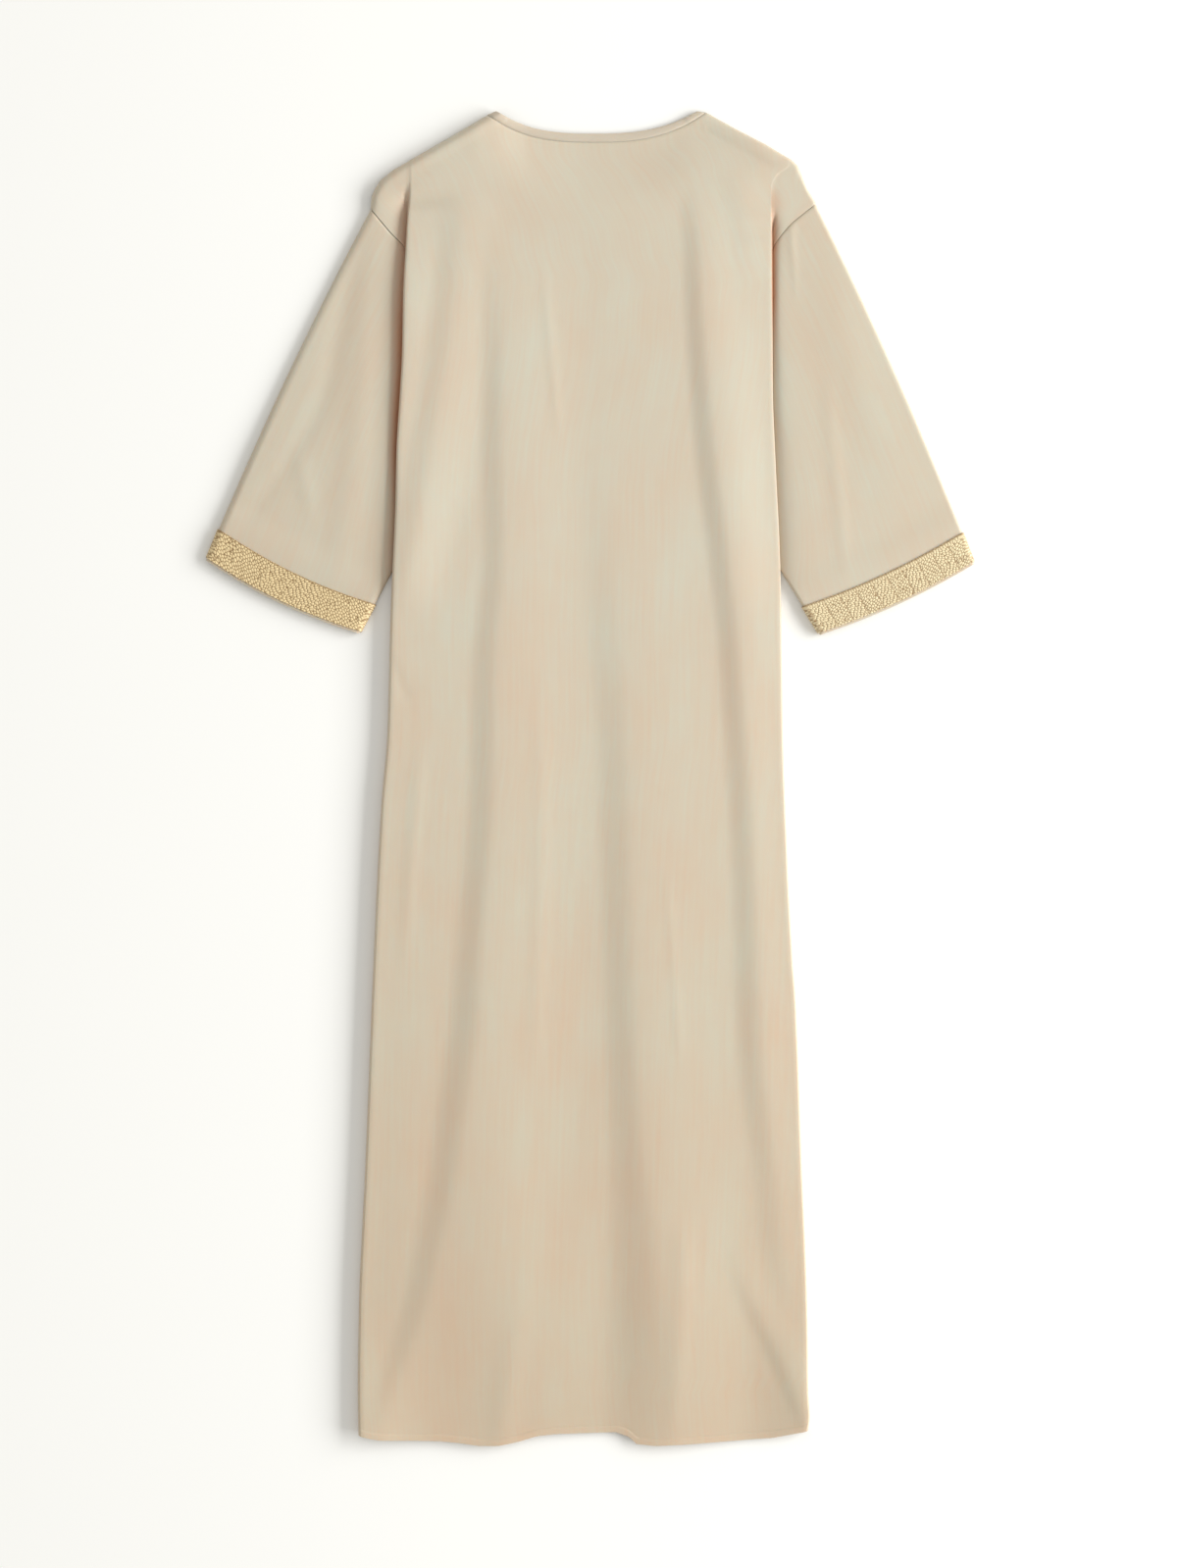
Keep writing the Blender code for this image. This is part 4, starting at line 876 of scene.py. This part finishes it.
def add_sleeve(side, material):
    share, under = around(96, 22)
    _, _, length = sleeve_plan(side, share, 0.0)
    near = np.array((0.0, 0.6, 1.6, 3.2, 6.0, 10.0, 15.0, 20.0, 25.0, 30.0, 34.0, 38.0, 44.0, 52.0))
    from_seam = np.array((0.0, 0.5, 1.1, 1.9, 3.0, 4.6, 7.0, 10.0, 14.0))
    middle = np.linspace(0.0, 1.0, 96)[1:-1, None]
    start, end = near[-1], length - from_seam[-1]
    distance = np.concatenate([near[:, None] + 0 * length, start + (end - start) * middle,
                               length - from_seam[::-1][:, None]])
    x, down, z = sleeve_ring(side, share, under, distance, 0.0)
    z = z + np.where(under, 0.0, seam_groove(length - distance, 0.6, 1.1))
    points = positions(x, down, z)
    uv = np.stack([lengths_across(points), distance * MM], axis=-1)
    # Painted shade on the sleeve's upper layer, in the trough beside the body's fold
    depth = np.where(under, 0.0, painted_fold_shade(side, np.abs(x), down, np.zeros(x.shape)))
    faces = grid_faces(*x.shape, tube=True)
    piece = add_mesh(f"{side}_sleeve_cloth", points, faces, material, uv, depth, "PaintedFoldShade")
    return add_wall(piece, CLOTH)


def beads(u, v, size, slant):
    """Relief of thread beads, 0 between them to 1 on them: one bead lies somewhere in each cell of
    a slanting net, and a point belongs to the nearest. The gap is where two are equally near."""
    p = (u * np.cos(slant) + v * np.sin(slant)) / size[0]
    q = (-u * np.sin(slant) + v * np.cos(slant)) / size[1]
    cell_p, cell_q = np.floor(p), np.floor(q)
    nearest, second = np.full(p.shape, 9.0), np.full(p.shape, 9.0)
    for step_p, step_q in np.ndindex(3, 3):
        i, j = cell_p + step_p - 1, cell_q + step_q - 1
        chance = np.sin(i * 127.1 + j * 311.7) * 43758.5, np.sin(i * 269.5 + j * 183.3) * 28001.8
        off_p, off_q = (0.5 + BEAD_SCATTER * (value % 1.0 - 0.5) for value in chance)
        away = np.hypot(i + off_p - p, j + off_q - q)
        second = np.minimum(second, np.maximum(nearest, away))
        nearest = np.minimum(nearest, away)
    return np.clip((second - nearest) / BEAD_SHOULDER, 0.0, 1.0)


def bead_relief(u, v, side):
    """Relief of the braid, 0 in the gaps to 1 on the crests, at u along it and v across it in
    millimetres: thread beads that slant one way and then the other, as in palm leaves, with a row
    of upright stitches inside a cord along its sewn edge."""
    look = BRAID_LOOK[side]
    half = np.floor(u / look["leaf"]) % 2
    leaning = [beads(u, v, look["bead"], slant) for slant in (look["slant"], -look["slant"])]
    relief = np.where(half < 1, *leaning)
    vein = np.exp(-((u / look["leaf"] + 0.5) % 1.0 - 0.5) ** 2 / LEAF_VEIN) * look["vein"]
    relief = relief * (1.0 - vein)
    stitches = np.abs(np.cos(math.pi * u / BRAID_STITCH)) ** 0.6
    row = np.exp(-((v - BRAID_ROW["middle"]) / BRAID_ROW["half"]) ** 4) * look["row"]
    relief = relief + (stitches - relief) * row
    cord = np.exp(-((v - BRAID_CORD["middle"]) / BRAID_CORD["half"]) ** 2)
    return np.clip(relief + (BRAID_CORD["relief"] - relief) * cord, 0.0, 1.0)


def add_cuff_braid(side, material):
    share, under = around(440, 40)
    across = np.linspace(0.0, BRAID_WIDTH, 62)[:, None]
    distance = LIP + across + 0 * share
    proud = CLOTH / 2 + SEAM_GAP + BRAID / 2
    x, down, z = sleeve_ring(side, share, under, distance, proud)
    width = math.dist(CUFF[side]["outer"], CUFF[side]["inner"])
    relief = bead_relief(share * width, BRAID_WIDTH - across, side)
    z = z + np.where(under, 0.0, BRAID_RELIEF["height"] * (relief - BRAID_RELIEF["level"]))
    points = positions(x, down, z)
    uv = np.stack([lengths_across(points), distance * MM], axis=-1)
    piece = add_mesh(f"{side}_cuff_braid", points, grid_faces(*x.shape, tube=True), material, uv, relief)
    return add_wall(piece, BRAID)


def add_neck_band(material):
    angle = np.linspace(-math.pi / 2, math.pi / 2, 121)
    u = np.sin(angle)
    edge_x, edge_down = neck_line(u, NECK_HALF_WIDTH, NECK_DEPTH, {"left": 0.0, "right": 0.0})
    seam_x, seam_down = neck_line(u, BAND_HALF_WIDTH, BAND_DEPTH, BAND_END)
    share = np.array((0.0, 0.04, 0.1, 0.18, 0.28, 0.4, 0.52, 0.64, 0.75, 0.84, 0.91, 0.96, 1.0))[:, None]
    gap = SEAM_GAP * share * 1.5
    x = edge_x + (seam_x - np.sign(u) * np.abs(u) ** 6 * gap - edge_x) * share
    down = edge_down + (seam_down - gap - edge_down) * share
    top_z = upper_level(x, down, 0.0)
    wide = BAND_DEPTH - NECK_DEPTH
    z = top_z + 0.35 * np.sin(math.pi * share) + seam_groove((1.0 - share) * wide, 0.5, 1.0)
    z = z + seam_groove(share * wide, 0.3, 0.7)
    points = positions(x, down, z)
    uv = np.stack([lengths_across(points), share * wide * MM + 0 * x], axis=-1)
    piece = add_mesh("neck_band_back_cloth", points, grid_faces(*x.shape), material, uv)
    return add_wall(piece, CLOTH)


def front_neck_down(x, half_width, depth, end_depth):
    u = np.clip((x - NECK_MIDDLE_X) / half_width, -1.0, 1.0)
    ends = np.where(u < 0, end_depth["left"], end_depth["right"])
    return ends + (depth - ends) * np.sqrt(np.clip(1.0 - np.abs(u) ** FRONT_NECK_ROUNDNESS, 0.0, 1.0))


def add_front_panel(material):
    """The front panel, flat underneath: columns from seam to seam, rows from neck to hem."""
    angle = np.linspace(-math.pi / 2, math.pi / 2, 71)
    neck_x = NECK_MIDDLE_X + BAND_HALF_WIDTH * np.sin(angle)
    left_tip = -(ARMHOLE["left"]["out"][0] - ARMHOLE_GAP)
    right_tip = ARMHOLE["right"]["out"][0] - ARMHOLE_GAP
    top_x = np.concatenate([np.linspace(left_tip, neck_x[0], 18)[:-1], neck_x,
                            np.linspace(neck_x[-1], right_tip, 18)[1:]])
    depth = FRONT_NECK_DEPTH + FRONT_BAND_WIDTH
    inside = np.abs(top_x - NECK_MIDDLE_X) < BAND_HALF_WIDTH
    top = np.where(inside, front_neck_down(top_x, BAND_HALF_WIDTH, depth, BAND_END), top_down(top_x))
    top[0], top[-1] = ARMHOLE["left"]["down"][0], ARMHOLE["right"]["down"][0]
    share = (top_x - top_x[0]) / (top_x[-1] - top_x[0])
    foot = FRONT_FOOT[0] + (FRONT_FOOT[1] - FRONT_FOOT[0]) * share
    hem = np.interp(foot, HEM["x"], HEM["down"]) - FRONT_HEM_LIFT
    rows = np.concatenate([np.linspace(0.0, 0.06, 8)[:-1], np.linspace(0.06, 0.97, 90),
                           np.linspace(0.97, 1.0, 10)[1:]])[:, None]
    down = top + (hem - top) * rows
    left_seam = -seam_out("left", down) + ARMHOLE_GAP * (down < ARMHOLE["left"]["down"][-1])
    right_seam = seam_out("right", down) - ARMHOLE_GAP * (down < ARMHOLE["right"]["down"][-1])
    settled = left_seam + (right_seam - left_seam) * share
    inner = (share > 0) & (share < 1)
    x = top_x + (settled - top_x) * np.where(inner, ramp(down, top, FRONT_COLUMNS_SETTLE), 1.0)
    points = positions(x, down, np.full_like(x, FLAT_Z))
    uv = np.stack([lengths_across(points), down * MM], axis=-1)
    piece = add_mesh("front_panel_cloth", points, grid_faces(*x.shape), material, uv)
    return add_wall(piece, CLOTH)


def add_front_band(material):
    angle = np.linspace(-math.pi / 2, math.pi / 2, 101)
    u = np.sin(angle)
    inner_x = NECK_MIDDLE_X + NECK_HALF_WIDTH * u
    outer_half = BAND_HALF_WIDTH - 2 * SEAM_GAP
    outer_x = NECK_MIDDLE_X + outer_half * u
    inner = front_neck_down(inner_x, NECK_HALF_WIDTH, FRONT_NECK_DEPTH, {"left": 0.0, "right": 0.0})
    outer = front_neck_down(outer_x, outer_half, FRONT_NECK_DEPTH + FRONT_BAND_WIDTH - 2 * SEAM_GAP, BAND_END)
    share = np.linspace(0.0, 1.0, 7)[:, None]
    x = inner_x + (outer_x - inner_x) * share
    down = inner + (outer - inner) * share
    points = positions(x, down, np.full_like(x, FLAT_Z))
    uv = np.stack([lengths_across(points), share * FRONT_BAND_WIDTH * MM + 0 * x], axis=-1)
    piece = add_mesh("neck_band_front_cloth", points, grid_faces(*x.shape), material, uv)
    return add_wall(piece, CLOTH)


# ---------------------------------------------------------------- sewing

def add_stitches(name, path, spacing, length, radius, sink, material):
    """Short rounded stitches set along a line of points: each is a spindle of six sides and
    four rings, laid in the line's direction and sunk a little into the cloth."""
    path = np.asarray(path) / MM
    travel = np.concatenate([[0.0], np.cumsum(np.linalg.norm(np.diff(path, axis=0), axis=1))])
    middles = np.arange(spacing, travel[-1] - spacing / 2, spacing)
    def at(distance):
        return np.stack([np.interp(distance, travel, path[:, axis]) for axis in range(3)], axis=-1)
    centre = at(middles)
    forward = at(middles + 0.5) - at(middles - 0.5)
    forward = forward / np.linalg.norm(forward, axis=1, keepdims=True)
    side = np.cross(forward, (0.0, 0.0, 1.0))
    side = side / np.linalg.norm(side, axis=1, keepdims=True)
    up = np.cross(side, forward)
    ring = np.linspace(0.0, 2 * math.pi, 7)[:-1]
    reach = np.array((-0.5, -0.3, 0.3, 0.5)) * length
    girth = np.array((0.25, 1.0, 1.0, 0.25)) * radius
    drop = np.array((-0.6, 0.0, 0.0, -0.6)) * radius
    local = (forward[:, None, None] * reach[None, :, None, None]
             + side[:, None, None] * (girth[:, None] * np.cos(ring))[None, :, :, None]
             + up[:, None, None] * (girth[:, None] * np.sin(ring) + drop[:, None] - sink)[None, :, :, None])
    points = (centre[:, None, None] + local) * MM
    one = grid_faces(4, 6, tube=True)
    base = 24 * np.arange(len(middles))[:, None, None]
    quads = (one[None] + base).reshape(-1, 4)
    caps = np.array(((0, 1, 2, 3), (0, 3, 4, 5), (21, 20, 19, 18), (23, 22, 21, 18)))
    faces = np.concatenate([quads[:, ::-1], (caps[None] + base).reshape(-1, 4)])
    piece = add_mesh(name, points, faces, material)
    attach(piece, "root")
    return piece


# ---------------------------------------------------------------- the stage

def add_stage():
    """A plain pale floor, a low soft key lamp on the right, and an even fill."""
    material, _, _ = new_material("painted_board", {"Base Color": linear("#f8f8f5"), "Roughness": 0.9,
                                                    "Specular IOR Level": 0.1})
    size = 6.0
    corners = np.array(((-size, -size, 0.0), (size, -size, 0.0), (size, size, 0.0), (-size, size, 0.0)))
    floor = add_mesh("floor", corners - (0.0, 0.0, 0.0002), np.array([[0, 1, 2, 3]]), material)

    lamp = bpy.data.lights.new("key", "AREA")
    lamp.energy = KEY["watts"]
    lamp.shape = "RECTANGLE"
    lamp.size, lamp.size_y = KEY["size"]
    lamp.color = KEY["colour"]
    key = bpy.data.objects.new("key", lamp)
    around_z, height = math.radians(KEY["azimuth"]), math.radians(KEY["elevation"])
    towards = np.array((math.cos(around_z) * math.cos(height), math.sin(around_z) * math.cos(height),
                        math.sin(height)))
    key.location = towards * KEY["distance"]
    key.rotation_euler = (math.pi / 2 - height, 0.0, math.pi / 2 + around_z)
    bpy.context.scene.collection.objects.link(key)

    world = bpy.data.worlds.new("studio")
    world.use_nodes = True
    background = world.node_tree.nodes["Background"]
    background.inputs[0].default_value = (*FILL["colour"], 1.0)
    background.inputs[1].default_value = FILL["strength"]
    bpy.context.scene.world = world
    bpy.context.scene.view_settings.view_transform = "Standard"


def add_camera():
    """Straight above the robe's middle, a little below the frame's origin."""
    data = bpy.data.cameras.new("camera")
    data.sensor_width = SENSOR
    data.lens = SENSOR * (CAMERA["height"] - CAMERA["cloth"]) / CAMERA["view"]
    camera = bpy.data.objects.new("camera", data)
    camera.location = (CAMERA["x"], CAMERA["y"], CAMERA["height"])
    bpy.context.scene.collection.objects.link(camera)
    bpy.context.scene.camera = camera


def main():
    add_camera()
    add_stage()
    cloth = satin("satin_polyester", "#ccc6b3", "#cfbca5", 0.5)
    band = satin("satin_binding", "#c9beac", "#c4b8a5", 0.55)
    # Each braid's first colour is painted highlight on the bead crests, its second painted shade in the gaps
    left_braid = braid_material("gold_braid_left", "#ebd4a4", "#7e592a")
    right_braid = braid_material("gold_braid_right", "#eadab2", "#8e693e")
    thread = thread_material("sewing_thread", "#c6b89c")

    front = add_front_panel(cloth)
    back, back_points = add_back_panel(cloth)
    dress(front, "front_panel")
    dress(back, "back_panel")
    back_band, front_band = add_neck_band(band), add_front_band(band)
    dress(back_band, "neck_binding_back")
    dress(front_band, "neck_binding_front")
    braids = {"left": left_braid, "right": right_braid}
    for side in SIDES:
        sleeve = add_sleeve(side, cloth)
        dress(sleeve, f"sleeve_{side}")
        trim = add_cuff_braid(side, braids[side])
        dress(trim, f"cuff_trim_{side}")

    seam = back_points[-1 - STITCH_ROW, STITCH_ENDS:-STITCH_ENDS] + (0, 0, CLOTH / 2 * MM)
    add_stitches("hem_stitching", seam, material=thread, **STITCH)


main()
